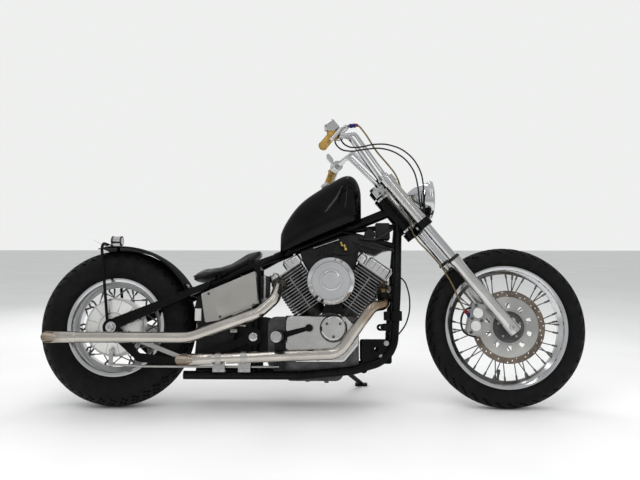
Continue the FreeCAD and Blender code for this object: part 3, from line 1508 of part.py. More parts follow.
def side_stand():
    pivot = stand_pivot_point()
    axis = stand_axis()
    half = stand_eye_height / 2
    eye = ring(stand_eye_radius, stand_pin_radius + running_gap, pivot - axis * half, pivot + axis * half)
    leg_way = (stand_foot_point() - pivot).normalize()
    leg = rod(stand_leg_radius - stand_leg_slim, pivot + leg_way * (stand_pin_radius + stand_leg_slim * 2),
              stand_foot_point())
    foot = rounded_box(stand_foot_length / 2, stand_foot_width / 2, 0, stand_foot_thickness,
                       stand_foot_thickness)
    foot.rotate(ORIGIN, FORWARD, lean_deg)
    foot.translate(Vector(stand_foot_x, stand_foot_y, ground_z(stand_foot_y)))
    return joined(eye, leg, foot)


def cable(route, radius, *carriers):
    return seated(evenly_bent_tube([Vector(*point) for point in route], radius), *carriers)


parts = {}


def build():
    frame = main_frame()
    parts["main_frame"] = frame
    for name, shape in rear_wheel().items():
        shape.translate(rear_axle)
        parts[name] = shape
    for name, shape in front_wheel().items():
        shape.translate(front_axle)
        parts[name] = shape
    arm = swing_arm(frame)
    axle = rear_axle_bolt()
    parts["swing_arm"] = arm
    parts["rear_axle"] = axle
    panel = brake_panel(axle)
    parts["brake_panel"] = panel
    case = crankcase(frame)
    parts["crankcase"] = case
    parts["final_drive"] = final_drive(axle, arm, case)
    parts["rear_cylinder"] = cylinder(-1, case)
    parts["front_cylinder"] = cylinder(1, case)
    parts["rear_head"] = seated(head(-1, rear_rocker_shares), frame)
    parts["front_head"] = seated(head(1, front_rocker_shares), frame)
    parts["right_case_cover"] = case_cover(-1, case)
    parts["left_case_cover"] = case_cover(1, case)
    parts["air_cleaner"] = air_cleaner()
    parts["carburettor"] = carburettor([parts["rear_cylinder"], parts["front_cylinder"], parts["rear_head"],
                                        parts["front_head"], frame])
    parts["upper_exhaust"] = upper_exhaust(parts["rear_head"], parts["rear_cylinder"], frame)
    parts["lower_exhaust"] = lower_exhaust(parts["front_head"], parts["front_cylinder"], frame)
    parts["exhaust_hangers"] = exhaust_hangers(parts["lower_exhaust"], frame)
    parts["fuel_tank"] = fuel_tank(frame)
    parts["tank_cap"] = tank_cap(parts["fuel_tank"])
    parts["seat"] = seat()
    parts["main_frame"] = frame = seated(joined(frame, *seat_posts()), parts["seat"])
    parts["side_boxes"] = side_boxes(frame, arm)
    parts["battery_box"] = battery_box(frame, parts["side_boxes"])
    fender = rear_fender(arm, frame)
    hoop = fender_hoop(fender, arm)
    lamp = tail_lamp(fender, hoop)
    parts["rear_fender"] = fender
    parts["fender_hoop"] = hoop
    parts["tail_lamp"] = lamp
    parts["plate_holder"] = plate_holder(fender, lamp, hoop)
    for side, word, lever in ((-1, "right", "brake_pedal"), (1, "left", "shift_lever")):
        peg = foot_peg(side, frame)
        parts[word + "_peg"] = peg
        parts[lever] = foot_lever(side, peg)
    parts["brake_linkage"] = brake_linkage(panel, arm, together(frame, parts["right_peg"]))
    legs = fork()
    bar = seated(handlebar(), legs["upper_yoke"], legs["fork_legs"])
    grip_pair = grips(bar)
    legs["handlebar"] = bar
    legs["grips"] = grip_pair
    legs["brake_control"] = control(-1, bar, grip_pair, True)
    legs["clutch_control"] = control(1, bar, grip_pair, False)
    legs["brake_caliper"] = brake_caliper(legs["fork_sliders"], front_hub_half_width)
    for name, shape in zip(legs, in_fork(*legs.values())):
        parts[name] = shape
    parts["headlamp_shell"], parts["headlamp_lens"] = headlamp(parts["lower_yoke"], parts["upper_yoke"])
    parts["brake_hose"] = cable(brake_hose_route, hose_radius, parts["brake_control"], parts["brake_caliper"])
    throttles = [cable(route, cable_radius, parts["brake_control"], parts["lower_yoke"])
                 for route in throttle_routes]
    parts["throttle_cables"] = together(*throttles)
    parts["clutch_cable"] = cable(clutch_cable_route, cable_radius, frame)
    parts["stand_bracket"] = stand_bracket(frame)
    parts["side_stand"] = side_stand()


def rest_shift():
    """How far the leaning machine moves to stand with its origin below its middle."""
    boxes = [shape.optimalBoundingBox(False) for shape in parts.values()]
    x = (min(b.XMin for b in boxes) + max(b.XMax for b in boxes)) / 2
    y = (min(b.YMin for b in boxes) + max(b.YMax for b in boxes)) / 2
    return Vector(-x, -y, -min(b.ZMin for b in boxes))


build()
for name, shape in parts.items():
    shape.rotate(ORIGIN, FORWARD, -lean_deg)
shift = rest_shift()
os.makedirs("parts", exist_ok=True)
for name, shape in parts.items():
    shape.translate(shift)
    shape.exportStep("parts/" + name + ".step")
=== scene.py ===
import json
import math
from typing import NamedTuple

import bmesh
import bpy
from mathutils import Matrix, Vector


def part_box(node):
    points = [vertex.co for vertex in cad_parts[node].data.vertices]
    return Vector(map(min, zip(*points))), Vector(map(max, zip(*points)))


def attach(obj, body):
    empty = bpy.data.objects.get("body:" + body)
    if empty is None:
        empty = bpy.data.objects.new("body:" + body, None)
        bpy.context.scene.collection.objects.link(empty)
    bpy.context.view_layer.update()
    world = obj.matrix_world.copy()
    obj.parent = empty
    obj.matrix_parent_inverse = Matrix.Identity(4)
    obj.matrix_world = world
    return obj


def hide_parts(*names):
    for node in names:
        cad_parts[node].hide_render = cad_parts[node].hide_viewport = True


bl_info = {
    "name": "Chopper Motorcycle",
    "version": (1, 0, 0),
    "blender": (4, 5, 0),
    "location": "View3D > Sidebar > Chopper",
    "description": "Dresses the chopper's CAD frame with tyres, wheels, engine details, seat and controls",
    "category": "Object",
}

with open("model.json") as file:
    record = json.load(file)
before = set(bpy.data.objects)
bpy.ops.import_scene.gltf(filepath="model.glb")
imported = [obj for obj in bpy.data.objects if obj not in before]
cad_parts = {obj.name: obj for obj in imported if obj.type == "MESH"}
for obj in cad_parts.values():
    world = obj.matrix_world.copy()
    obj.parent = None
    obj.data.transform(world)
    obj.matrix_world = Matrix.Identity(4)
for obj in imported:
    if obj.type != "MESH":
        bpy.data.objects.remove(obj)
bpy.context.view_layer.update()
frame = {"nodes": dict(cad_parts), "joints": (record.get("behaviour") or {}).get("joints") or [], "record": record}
joints = {joint["name"]: joint for joint in frame["joints"]}

# The machine is shaped upright, in metres: +X forward, +Y to its left, +Z up, from
# the floor under the rear axle. These matrices carry a finished piece to its place.
AXLE_HEIGHT = 0.32718
FRONT_AXLE = Vector((1.628, 0.0, 0.33267))
RAKE = math.radians(39)
CRANK = Vector((0.893, 0.0, 0.296))
V_HALF = math.radians(35)
spin_axis = Vector(joints["rear_wheel_spin"]["axis"])
LEAN = math.atan2(-spin_axis.z, spin_axis.y)
REAR_CENTRE = Vector(joints["rear_wheel_spin"]["pos_m"])
PIPE_STEEL = (0.50, 0.47, 0.43)
BIKE = (Matrix.Translation(REAR_CENTRE) @ Matrix.Rotation(-LEAN, 4, "X")
        @ Matrix.Translation((0, 0, -AXLE_HEIGHT)))
REAR_WHEEL = BIKE @ Matrix.Translation((0, 0, AXLE_HEIGHT))
FRONT_WHEEL = BIKE @ Matrix.Translation(FRONT_AXLE)
FORK = FRONT_WHEEL @ Matrix.Rotation(-RAKE, 4, "Y")
FRONT_CYLINDER = BIKE @ Matrix.Translation(CRANK) @ Matrix.Rotation(V_HALF, 4, "Y")
REAR_CYLINDER = BIKE @ Matrix.Translation(CRANK) @ Matrix.Rotation(-V_HALF, 4, "Y")
CALIPER = FORK @ Matrix.Rotation(math.radians(-38.7), 4, "Y")
FORWARD = Vector((1, 0, 0))
LEFT = Vector((0, 1, 0))
RIGHT = Vector((0, -1, 0))
UP = Vector((0, 0, 1))
SIDES = (-1, 1)


class ChopperSizes(bpy.types.PropertyGroup):
    tread_depth: bpy.props.FloatProperty(
        name="Tread depth", description="Depth of the grooves in both tyres", default=0.005, unit="LENGTH")
    spoke_radius: bpy.props.FloatProperty(
        name="Spoke radius", description="Radius of every wheel spoke", default=0.0023, unit="LENGTH")
    disc_hole_radius: bpy.props.FloatProperty(
        name="Disc hole radius", description="Radius of the holes drilled in the brake disc", default=0.0030,
        unit="LENGTH")
    bolt_radius: bpy.props.FloatProperty(
        name="Bolt head radius", description="Radius of the usual bolt head", default=0.0075, unit="LENGTH")


class ChopperColours(bpy.types.PropertyGroup):
    paint: bpy.props.FloatVectorProperty(
        name="Paint", description="Gloss paint of the tank, fender and frame",
        default=(0.0022, 0.0022, 0.0024), size=3, subtype="COLOR", min=0, max=1)
    grip: bpy.props.FloatVectorProperty(
        name="Grip", description="Amber of the hand grips", default=(0.36, 0.215, 0.035), size=3,
        subtype="COLOR", min=0, max=1)
    leather: bpy.props.FloatVectorProperty(
        name="Leather", description="Seat cover", default=(0.006, 0.0055, 0.0055), size=3, subtype="COLOR",
        min=0, max=1)
    disc: bpy.props.FloatVectorProperty(
        name="Disc", description="Ground steel of the brake disc", default=(0.20, 0.165, 0.135), size=3,
        subtype="COLOR", min=0, max=1)


def sizes():
    return bpy.context.scene.chopper_sizes


def colours():
    return bpy.context.scene.chopper_colours


class Nodes:
    """A node tree, with short calls for the nodes that its patterns need."""

    def __init__(self, tree):
        self.tree = tree

    def node(self, kind, **settings):
        made = self.tree.nodes.new(kind)
        for key, value in settings.items():
            setattr(made, key, value)
        return made

    def link(self, start, end):
        self.tree.links.new(start, end)

    def fill(self, made, **values):
        for key, value in values.items():
            socket = made.inputs[key.replace("_", " ")]
            if isinstance(value, bpy.types.NodeSocket):
                self.link(value, socket)
            else:
                socket.default_value = value
        return made

    def span(self, value, low, high, start=0.0, end=1.0):
        made = self.node("ShaderNodeMapRange")
        self.fill(made, Value=value, From_Min=low, From_Max=high, To_Min=start, To_Max=end)
        return made.outputs[0]

    def blend(self, amount, first, second):
        made = self.node("ShaderNodeMix", data_type="RGBA")
        for index, value in ((0, amount), (6, first), (7, second)):
            if isinstance(value, bpy.types.NodeSocket):
                self.link(value, made.inputs[index])
            else:
                made.inputs[index].default_value = value if index == 0 else (*value, 1)
        return made.outputs[2]

    def compute(self, kind, operation, *values):
        made = self.node(kind, operation=operation)
        for index, value in enumerate(values):
            if isinstance(value, bpy.types.NodeSocket):
                self.link(value, made.inputs[index])
            else:
                made.inputs[index].default_value = value
        return made

    def math(self, operation, *values):
        return self.compute("ShaderNodeMath", operation, *values).outputs[0]

    def separated(self, vector):
        return self.fill(self.node("ShaderNodeSeparateXYZ"), Vector=vector).outputs


class Finish(Nodes):
    """A procedural material on a principled shader."""

    def __init__(self, name, colour, metallic=0.0, roughness=0.5):
        self.material = bpy.data.materials.new(name)
        self.material.use_nodes = True
        super().__init__(self.material.node_tree)
        self.shader = self.tree.nodes["Principled BSDF"]
        self.set("Base Color", (*colour, 1))
        self.set("Metallic", metallic)
        self.set("Roughness", roughness)
        self.material.diffuse_color = (*colour, 1)
        self.place = self.node("ShaderNodeTexCoord").outputs["Object"]

    def set(self, socket, value):
        self.shader.inputs[socket].default_value = value

    def feed(self, start, socket):
        self.link(start, self.shader.inputs[socket])

    def noise(self, scale, detail=4.0, stretch=None):
        vector = self.place
        if stretch:
            vector = self.fill(self.node("ShaderNodeMapping"), Vector=self.place, Scale=stretch).outputs[0]
        made = self.node("ShaderNodeTexNoise")
        self.fill(made, Vector=vector, Scale=scale, Detail=detail)
        return made.outputs["Fac"]

    def bump(self, height, strength, distance):
        made = self.node("ShaderNodeBump")
        self.fill(made, Height=height, Strength=strength, Distance=distance)
        self.feed(made.outputs[0], "Normal")

    def drift(self, first, second, scale, low=0.3, high=0.7):
        """Two tints that run into each other."""
        return self.blend(self.span(self.noise(scale), low, high), first, second)

    def mottle(self, first, second, scale, low=0.35, high=0.65):
        """Two drifting tints as the colour of the finish."""
        self.feed(self.drift(first, second, scale, low, high), "Base Color")

    def worn(self, scale, low, high):
        """Roughness that wanders between two levels."""
        self.feed(self.span(self.noise(scale, 6.0), 0.3, 0.7, low, high), "Roughness")


def dimmer(colour, share):
    return tuple(part * share for part in colour)


def coated(name, colour, roughness, tints, worn, grain, metallic=0.0, **levels):
    """Paint, rubber or plastic. Its grain is a scale, detail, strength and depth."""
    made = Finish(name, colour, metallic, roughness)
    made.mottle(*tints)
    made.worn(*worn)
    for socket, level in levels.items():
        made.set(socket.replace("_", " "), level)
    scale, detail, strength, depth = grain
    made.bump(made.noise(scale, detail), strength, depth)
    return made


def tinted(colour, dark, light, scale):
    return dimmer(colour, dark), dimmer(colour, light), scale


def gloss_paint(name="gloss_black_paint", coat=0.26):
    paint = colours().paint
    return coated(name, paint, 0.2, tinted(paint, 0.7, 1.5, 9.0), (14.0, 0.10, 0.24),
                  (220.0, 2.0, 0.03, 0.0004), Specular_IOR_Level=0.0, Coat_Weight=coat, Coat_Roughness=0.05)


def frame_paint():
    paint = colours().paint
    return coated("frame_black_paint", paint, 0.28, tinted(paint, 0.8, 2.2, 17.0), (30.0, 0.2, 0.42),
                  (160.0, 3.0, 0.06, 0.0006), Specular_IOR_Level=0.0, Coat_Weight=0.22, Coat_Roughness=0.18)


def metal(name, dark, light, rough, grain=60.0, depth=0.02, stretch=None):
    """Bare or plated metal with a drifting tint, uneven polish and fine grain."""
    made = Finish(name, light, metallic=1.0, roughness=rough[0])
    made.mottle(dark, light, grain * 0.2, 0.25, 0.75)
    made.worn(grain, *rough)
    made.bump(made.noise(grain * 6, 3.0, stretch), depth, 0.0005)
    return made


def exhaust_steel(name, tip):
    """Polished steel pipe, browned towards its cut mouth and gold where it leaves the engine."""
    rear = REAR_CENTRE.x
    made = Finish(name, PIPE_STEEL, metallic=1.0, roughness=0.2)
    waver = made.span(made.noise(12.0), 0.3, 0.7, -0.03, 0.03)
    along = made.math("ADD", made.separated(made.place)[0], waver)
    tint = made.drift(PIPE_STEEL, (0.64, 0.605, 0.56), 9.0)
    tint = made.blend(made.span(along, rear + 0.98, rear + 1.10), tint, (0.27, 0.185, 0.115))
    tint = made.blend(made.span(along, rear + tip + 0.10, rear + tip - 0.02), tint, (0.27, 0.19, 0.12))
    made.feed(tint, "Base Color")
    made.worn(26.0, 0.13, 0.30)
    made.bump(made.noise(180.0, 2.0, (0.1, 1.0, 1.0)), 0.010, 0.0003)
    return made


def brushed_plate():
    """Sheet metal with fine lines along its length."""
    made = metal("brushed_plate", (0.40, 0.39, 0.37), (0.52, 0.51, 0.48), (0.30, 0.44), 50.0, 0.05)
    made.bump(made.noise(160.0, 3.0, (0.08, 1.0, 2.5)), 0.12, 0.0004)
    return made


def finned(name, matrix):
    """Dark castings with bright fin edges; past the head joint it is a polished cover."""
    made = Finish(name, (0.05, 0.05, 0.05), metallic=1.0, roughness=0.4)
    local = made.node("ShaderNodeMapping", vector_type="TEXTURE")
    made.fill(local, Vector=made.place, Location=matrix.translation, Rotation=matrix.to_euler())
    parts = made.separated(local.outputs[0])
    squares = []
    for axis, half in ((0, FIN_HALF_LENGTH), (1, FIN_HALF_WIDTH)):
        past = made.math("SUBTRACT", made.math("ABSOLUTE", parts[axis]), half - FIN_CORNER)
        past = made.math("MAXIMUM", past, 0.0)
        squares.append(made.math("MULTIPLY", past, past))
    out = made.math("SQRT", made.math("ADD", *squares))
    edge = made.span(out, FIN_CORNER - 0.0014, FIN_CORNER - 0.0006)
    cover = made.span(parts[2], COVER_LOW - 0.0046, COVER_LOW - 0.0040)
    bright = made.math("MAXIMUM", edge, cover)
    dark = made.drift((0.035, 0.034, 0.033), (0.09, 0.087, 0.083), 60.0)
    fins = made.drift((0.17, 0.17, 0.17), (0.34, 0.34, 0.34), 40.0)
    covers = made.drift((0.52, 0.52, 0.515), (0.68, 0.68, 0.675), 20.0)
    made.feed(made.blend(bright, dark, made.blend(cover, fins, covers)), "Base Color")
    made.feed(made.span(bright, 0.0, 1.0, 0.5, 0.16), "Roughness")
    made.bump(made.noise(420.0, 3.0), 0.06, 0.0005)
    return made


def disc_steel():
    """Ground rings round the wheel's axis."""
    made = Finish("disc_steel", colours().disc, metallic=1.0, roughness=0.3)
    made.mottle(*tinted(colours().disc, 0.7, 1.25, 24.0))
    made.worn(60.0, 0.24, 0.42)
    spin = joints["front_wheel_spin"]
    reach = made.place
    for operation, value in (("SUBTRACT", spin["pos_m"]), ("CROSS_PRODUCT", spin["axis"])):
        reach = made.compute("ShaderNodeVectorMath", operation, reach, Vector(value)).outputs[0]
    reach = made.compute("ShaderNodeVectorMath", "LENGTH", reach).outputs["Value"]
    made.bump(made.math("SINE", made.math("MULTIPLY", reach, DISC_RINGS)), 0.12, 0.0002)
    return made


def leather():
    made = Finish("seat_leather", colours().leather, roughness=0.42)
    made.mottle(*tinted(colours().leather, 0.7, 1.9, 14.0))
    made.worn(35.0, 0.34, 0.55)
    made.set("Sheen Weight", 0.15)
    cells = made.node("ShaderNodeTexVoronoi", feature="DISTANCE_TO_EDGE")
    made.fill(cells, Vector=made.place, Scale=420.0)
    grain = made.math("ADD", made.span(cells.outputs["Distance"], 0.0, 0.25), made.noise(260.0, 4.0))
    made.bump(grain, 0.22, 0.0008)
    return made


def amber_grip():
    grip = colours().grip
    return coated("amber_grip", grip, 0.3, tinted(grip, 0.7, 1.12, 45.0), (50.0, 0.2, 0.42),
                  (240.0, 2.0, 0.05, 0.0003), Subsurface_Weight=0.25, Subsurface_Radius=(0.01, 0.006, 0.002),
                  Subsurface_Scale=0.4)


def braided_hose():
    made = metal("braided_hose", (0.13, 0.10, 0.05), (0.34, 0.27, 0.14), (0.24, 0.4), 160.0, 0.04)
    weave = made.node("ShaderNodeTexVoronoi")
    made.fill(weave, Vector=made.place, Scale=900.0)
    made.bump(weave.outputs["Distance"], 0.5, 0.0006)
    return made


def lens_glass():
    made = Finish("lens_glass", (0.92, 0.94, 0.95), roughness=0.06)
    made.worn(30.0, 0.03, 0.10)
    made.set("Transmission Weight", 0.92)
    made.set("IOR", 1.45)
    flutes = made.node("ShaderNodeTexWave", wave_type="BANDS", bands_direction="Y")
    made.fill(flutes, Vector=made.place, Scale=60.0, Distortion=0.0)
    made.bump(flutes.outputs["Fac"], 0.3, 0.0012)
    return made


# Plain metals: name, dark and light tint, roughness from and to, grain's scale and depth
METALS = {
    "chrome": ("chrome_plate", (0.50, 0.50, 0.515), (0.70, 0.70, 0.71), (0.04, 0.11), 20.0, 0.01),
    "polished_alloy": ("polished_alloy", (0.50, 0.495, 0.485), (0.68, 0.675, 0.66), (0.12, 0.26), 40.0, 0.03),
    "satin_alloy": ("satin_alloy", (0.38, 0.375, 0.365), (0.54, 0.535, 0.52), (0.28, 0.44), 55.0, 0.05),
    "fin_alloy": ("fin_alloy", (0.20, 0.20, 0.20), (0.44, 0.44, 0.44), (0.28, 0.50), 90.0, 0.08),
    "case_metal": ("case_metal", (0.05, 0.05, 0.052), (0.15, 0.15, 0.155), (0.40, 0.6), 90.0, 0.12),
    "steel_dark": ("dark_steel", (0.07, 0.067, 0.064), (0.17, 0.165, 0.16), (0.25, 0.42), 80.0, 0.05),
    "rim_alloy": ("rim_alloy", (0.48, 0.485, 0.50), (0.68, 0.685, 0.70), (0.07, 0.18), 30.0, 0.02),
    "caliper_metal": ("caliper_metal", (0.28, 0.28, 0.285), (0.50, 0.50, 0.50), (0.32, 0.48), 70.0, 0.12),
    "brass": ("brass_fitting", (0.50, 0.34, 0.10), (0.70, 0.50, 0.18), (0.2, 0.36), 70.0, 0.04),
    "anodised_red": ("anodised_red", (0.21, 0.021, 0.028), (0.30, 0.03, 0.04), (0.16, 0.3), 60.0, 0.02),
    "anodised_blue": ("anodised_blue", (0.021, 0.028, 0.14), (0.03, 0.04, 0.20), (0.16, 0.3), 60.0, 0.02),
}
SOFT_RUBBER = ("soft_rubber", (0.010, 0.010, 0.011), 0.55,
               ((0.007, 0.007, 0.0075), (0.016, 0.016, 0.0165), 50.0), (80.0, 0.42, 0.66),
               (500.0, 2.0, 0.08, 0.0004), {"Specular_IOR_Level": 0.25})
# What coated() takes, with its levels last
COATS = {
    "tyre": ("tyre_rubber", (0.004, 0.004, 0.0043), 0.6,
             ((0.0030, 0.0029, 0.0031), (0.0056, 0.0054, 0.0054), 30.0), (45.0, 0.48, 0.74),
             (700.0, 3.0, 0.12, 0.0005), {"Specular_IOR_Level": 0.14}),
    "cable_black": SOFT_RUBBER,
    "peg_rubber": SOFT_RUBBER,
    "battery_black": ("black_plastic", (0.008, 0.008, 0.0085), 0.5,
                      ((0.0055, 0.0055, 0.006), (0.013, 0.013, 0.0135), 26.0), (60.0, 0.36, 0.6),
                      (620.0, 2.0, 0.1, 0.0003), {"Specular_IOR_Level": 0.2}),
    "plate_pale": ("pale_plate", (0.66, 0.66, 0.64), 0.4, ((0.58, 0.58, 0.57), (0.70, 0.70, 0.68), 22.0),
                   (40.0, 0.3, 0.5), (300.0, 2.0, 0.04, 0.0003), {}),
    "lamp_body": ("red_lens", (0.22, 0.012, 0.012), 0.16, ((0.15, 0.008, 0.008), (0.28, 0.02, 0.016), 60.0),
                  (60.0, 0.08, 0.22), (320.0, 1.0, 0.1, 0.0005), {"Coat_Weight": 0.8}),
    "cast_silver": ("cast_silver", (0.74, 0.74, 0.72), 0.36, ((0.68, 0.68, 0.66), (0.80, 0.80, 0.78), 16.0),
                    (60.0, 0.28, 0.44), (500.0, 3.0, 0.06, 0.0004), {"metallic": 0.65}),
}
FINISHES = {
    "frame_black": frame_paint,
    "tank_black": gloss_paint,
    "fender_black": lambda: gloss_paint("fender_black", 0.07),
    "exhaust_steel": lambda: exhaust_steel("exhaust_steel", -0.272),
    "lower_pipe_steel": lambda: exhaust_steel("lower_pipe_steel", 0.276),
    "brushed_plate": brushed_plate,
    "rear_fins": lambda: finned("rear_fins", REAR_CYLINDER),
    "front_fins": lambda: finned("front_fins", FRONT_CYLINDER),
    "disc_bronze": disc_steel,
    "seat_leather": leather,
    "grip_amber": amber_grip,
    "hose_braid": braided_hose,
    "lens_glass": lens_glass,
}
finishes_made = {}


def finish(slot):
    """The slot's material, made once."""
    if slot not in finishes_made:
        if slot in METALS:
            made = metal(*METALS[slot])
        elif slot in COATS:
            *values, levels = COATS[slot]
            made = coated(*values, **levels)
        else:
            made = FINISHES[slot]()
        finishes_made[slot] = made.material
    return finishes_made[slot]


def clear():
    if bpy.context.object and bpy.context.object.mode != "OBJECT":
        bpy.ops.object.mode_set(mode="OBJECT")
    bpy.ops.object.select_all(action="DESELECT")


def pick(kind, test):
    """In edit mode, selects the vertices, edges or faces that pass a test, and nothing else."""
    bpy.ops.mesh.select_all(action="DESELECT")
    bpy.ops.mesh.select_mode(type=kind)
    mesh = bpy.context.object.data
    shape = bmesh.from_edit_mesh(mesh)
    items = {"VERT": shape.verts, "EDGE": shape.edges, "FACE": shape.faces}[kind]
    for item in items:
        if test(item):
            item.select_set(True)
    shape.select_flush_mode()
    bmesh.update_edit_mesh(mesh)


def towards(way):
    return Vector(way).to_track_quat("Z", "Y").to_euler()


def turned(rings, sides=48, at=(0, 0, 0), way=(0, 0, 1), closed=True):
    """A round piece: (radius, height) rings drawn out one after another along an axis."""
    clear()
    first_radius, first_height = rings[0]
    rest = rings[1:]
    if first_radius > 0:
        bpy.ops.mesh.primitive_circle_add(vertices=sides, radius=first_radius, location=(0, 0, first_height),
                                          fill_type="NGON" if closed else "NOTHING")
    else:
        bpy.ops.mesh.primitive_circle_add(vertices=sides, radius=rest[0][0], location=(0, 0, rest[0][1]),
                                          fill_type="TRIFAN")
    made = bpy.context.object
    bpy.ops.object.transform_apply(location=True)
    bpy.ops.object.mode_set(mode="EDIT")
    radius, height = rings[0]
    if first_radius == 0:
        pick("VERT", lambda vert: vert.co.xy.length < rest[0][0] / 2)
        bpy.ops.transform.translate(value=(0, 0, first_height - rest[0][1]))
        radius, height = rest[0]
        rest = rest[1:]
    pick("EDGE", lambda edge: edge.is_boundary or edge.is_wire)
    for new_radius, new_height in rest:
        bpy.ops.mesh.extrude_region_move(TRANSFORM_OT_translate={"value": (0, 0, new_height - height)})
        if new_radius == 0:
            bpy.ops.mesh.merge(type="CENTER")
        elif new_radius != radius:
            scale = new_radius / radius
            bpy.ops.transform.resize(value=(scale, scale, 1), center_override=(0, 0, new_height))
        radius, height = new_radius, new_height
    if closed and radius > 0:
        bpy.ops.mesh.edge_face_add()
    bpy.ops.object.mode_set(mode="OBJECT")
    made.rotation_euler = towards(way)
    made.location = at
    bpy.ops.object.transform_apply(location=True, rotation=True)
    return made


def hoop(rings, sides=96, at=(0, 0, 0), way=(0, 1, 0)):
    """A closed ring: the last of its (radius, height) rings is joined back to the first."""
    made = turned(rings + rings[:1], sides, at, way, closed=False)
    bpy.ops.object.mode_set(mode="EDIT")
    bpy.ops.mesh.select_all(action="SELECT")
    bpy.ops.mesh.remove_doubles(threshold=0.00001)
    bpy.ops.object.mode_set(mode="OBJECT")
    return made


def block(low, high, bevel=0.002, segments=2):
    """A box between two corners, with its edges rounded over."""
    clear()
    size = Vector(high) - Vector(low)
    bpy.ops.mesh.primitive_cube_add(size=1, location=(Vector(low) + Vector(high)) / 2)
    made = bpy.context.object
    made.scale = size
    bpy.ops.object.transform_apply(location=True, rotation=True, scale=True)
    if bevel:
        bpy.ops.object.mode_set(mode="EDIT")
        bpy.ops.mesh.select_all(action="SELECT")
        bpy.ops.mesh.bevel(offset=bevel, segments=segments, affect="EDGES")
        bpy.ops.object.mode_set(mode="OBJECT")
    return made


def spread(made, places):
    """Copies a piece that is shaped at the origin along +Z to each (place, direction)."""
    copies = []
    for at, way in places:
        turn = Vector(way).to_track_quat("Z", "Y").to_matrix().to_4x4()
        copies.append(copied(made, Matrix.Translation(at) @ turn))
    only(made)
    bpy.ops.object.delete()
    return copies


def bolts(places, radius=None, washer=True):
    """Hexagon heads on round washers."""
    size = radius or sizes().bolt_radius
    low = size * WASHER_HEIGHT if washer else 0.0
    high = low + size * HEAD_HEIGHT
    pieces = [turned([(size, low), (size, high - size * HEAD_EDGE), (size * HEAD_TOP, high)], 6)]
    if washer:
        pieces.append(turned([(size * WASHER_RADIUS, 0), (size * WASHER_RADIUS, low)], 20))
    return spread(gathered(pieces), places)


def screws(places, radius):
    """Round socket heads with a sunk round recess."""
    high = radius * SCREW_HEIGHT
    made = turned([(radius, 0), (radius, high * 0.8), (radius * 0.9, high), (radius * SOCKET, high),
                   (radius * SOCKET, high * 0.4)], 18)
    return spread(made, places)


def tube(points, radius, sides=12):
    """A closed-ended round rod or tube along a line of points."""
    clear()
    bpy.ops.curve.primitive_nurbs_path_add()
    made = bpy.context.object
    curve = made.data
    curve.splines.clear()
    curve.bevel_depth = radius
    curve.bevel_resolution = max(0, sides // 4 - 1)
    curve.use_fill_caps = True
    spline = curve.splines.new("NURBS")
    spline.points.add(len(points) - 1)
    for point, spot in zip(spline.points, points):
        point.co = (*spot, 1)
    spline.order_u = 3
    spline.use_endpoint_u = True
    spline.resolution_u = 6
    only(made)
    bpy.ops.object.convert(target="MESH")
    return bpy.context.object


def only(made):
    clear()
    made.select_set(True)
    bpy.context.view_layer.objects.active = made
    return made


def copied(made, matrix=None):
    """Another of the same piece, with its own mesh."""
    only(made)
    bpy.ops.object.duplicate(linked=False)
    twin = bpy.context.object
    if matrix is not None:
        twin.matrix_world = matrix @ twin.matrix_world
        bpy.ops.object.transform_apply(location=True, rotation=True, scale=True)
    return twin


def gathered(pieces):
    clear()
    for made in pieces:
        made.select_set(True)
    bpy.context.view_layer.objects.active = pieces[0]
    if len(pieces) > 1:
        bpy.ops.object.join()
    return bpy.context.object


def outward(made):
    """Turns every face of the piece to the outside."""
    only(made)
    bpy.ops.object.mode_set(mode="EDIT")
    bpy.ops.mesh.select_all(action="SELECT")
    bpy.ops.mesh.normals_make_consistent(inside=False)
    bpy.ops.object.mode_set(mode="OBJECT")
    return made


def apply_modifier(made, kind, **settings):
    only(made)
    added = made.modifiers.new(kind.lower(), kind)
    for key, value in settings.items():
        setattr(added, key, value)
    bpy.ops.object.modifier_apply(modifier=added.name)
    return made


def cut_out(made, pieces):
    """The piece with other forms cut out of it."""
    cutter = gathered(pieces)
    apply_modifier(made, "BOOLEAN", operation="DIFFERENCE", object=cutter)
    only(cutter)
    bpy.ops.object.delete()
    return made


def settle(pieces, name, place, body, slot, smooth=35.0, replaces=()):
    """Joins what belongs together, carries it to its place and gives it to its body."""
    made = gathered(list(pieces) if isinstance(pieces, (list, tuple)) else [pieces])
    made.matrix_world = place @ made.matrix_world
    bpy.ops.object.transform_apply(location=True, rotation=True, scale=True)
    bpy.ops.object.mode_set(mode="EDIT")
    bpy.ops.mesh.select_all(action="SELECT")
    bpy.ops.mesh.remove_doubles(threshold=0.000005)
    bpy.ops.mesh.normals_make_consistent(inside=False)
    bpy.ops.object.mode_set(mode="OBJECT")
    bpy.ops.object.shade_smooth_by_angle(angle=math.radians(smooth))
    made.name = name
    made.data.name = name
    made.data.materials.clear()
    made.data.materials.append(finish(slot))
    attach(made, body)
    if replaces:
        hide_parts(*replaces)
    return made


# Shares of a bolt's or a screw's head radius
WASHER_HEIGHT = 0.22
WASHER_RADIUS = 1.5
HEAD_HEIGHT = 0.75
HEAD_EDGE = 0.12
HEAD_TOP = 0.88
SCREW_HEIGHT = 0.9
SOCKET = 0.5

# Wheels and front brake, in metres and radians; the two flanges' spokes start half a step apart
RIM_WALL = 0.004
RIM_FLOOR = 0.6
SPOKE_TURNS = 10
SPOKE_SHIFT = 0.0015
SPOKE_SWEEP = math.radians(34)
NIPPLE_WIDTH = 1.8
DISC_HOLES = 15
DISC_RINGS = 5200.0
CARRIER_WINDOWS = 10

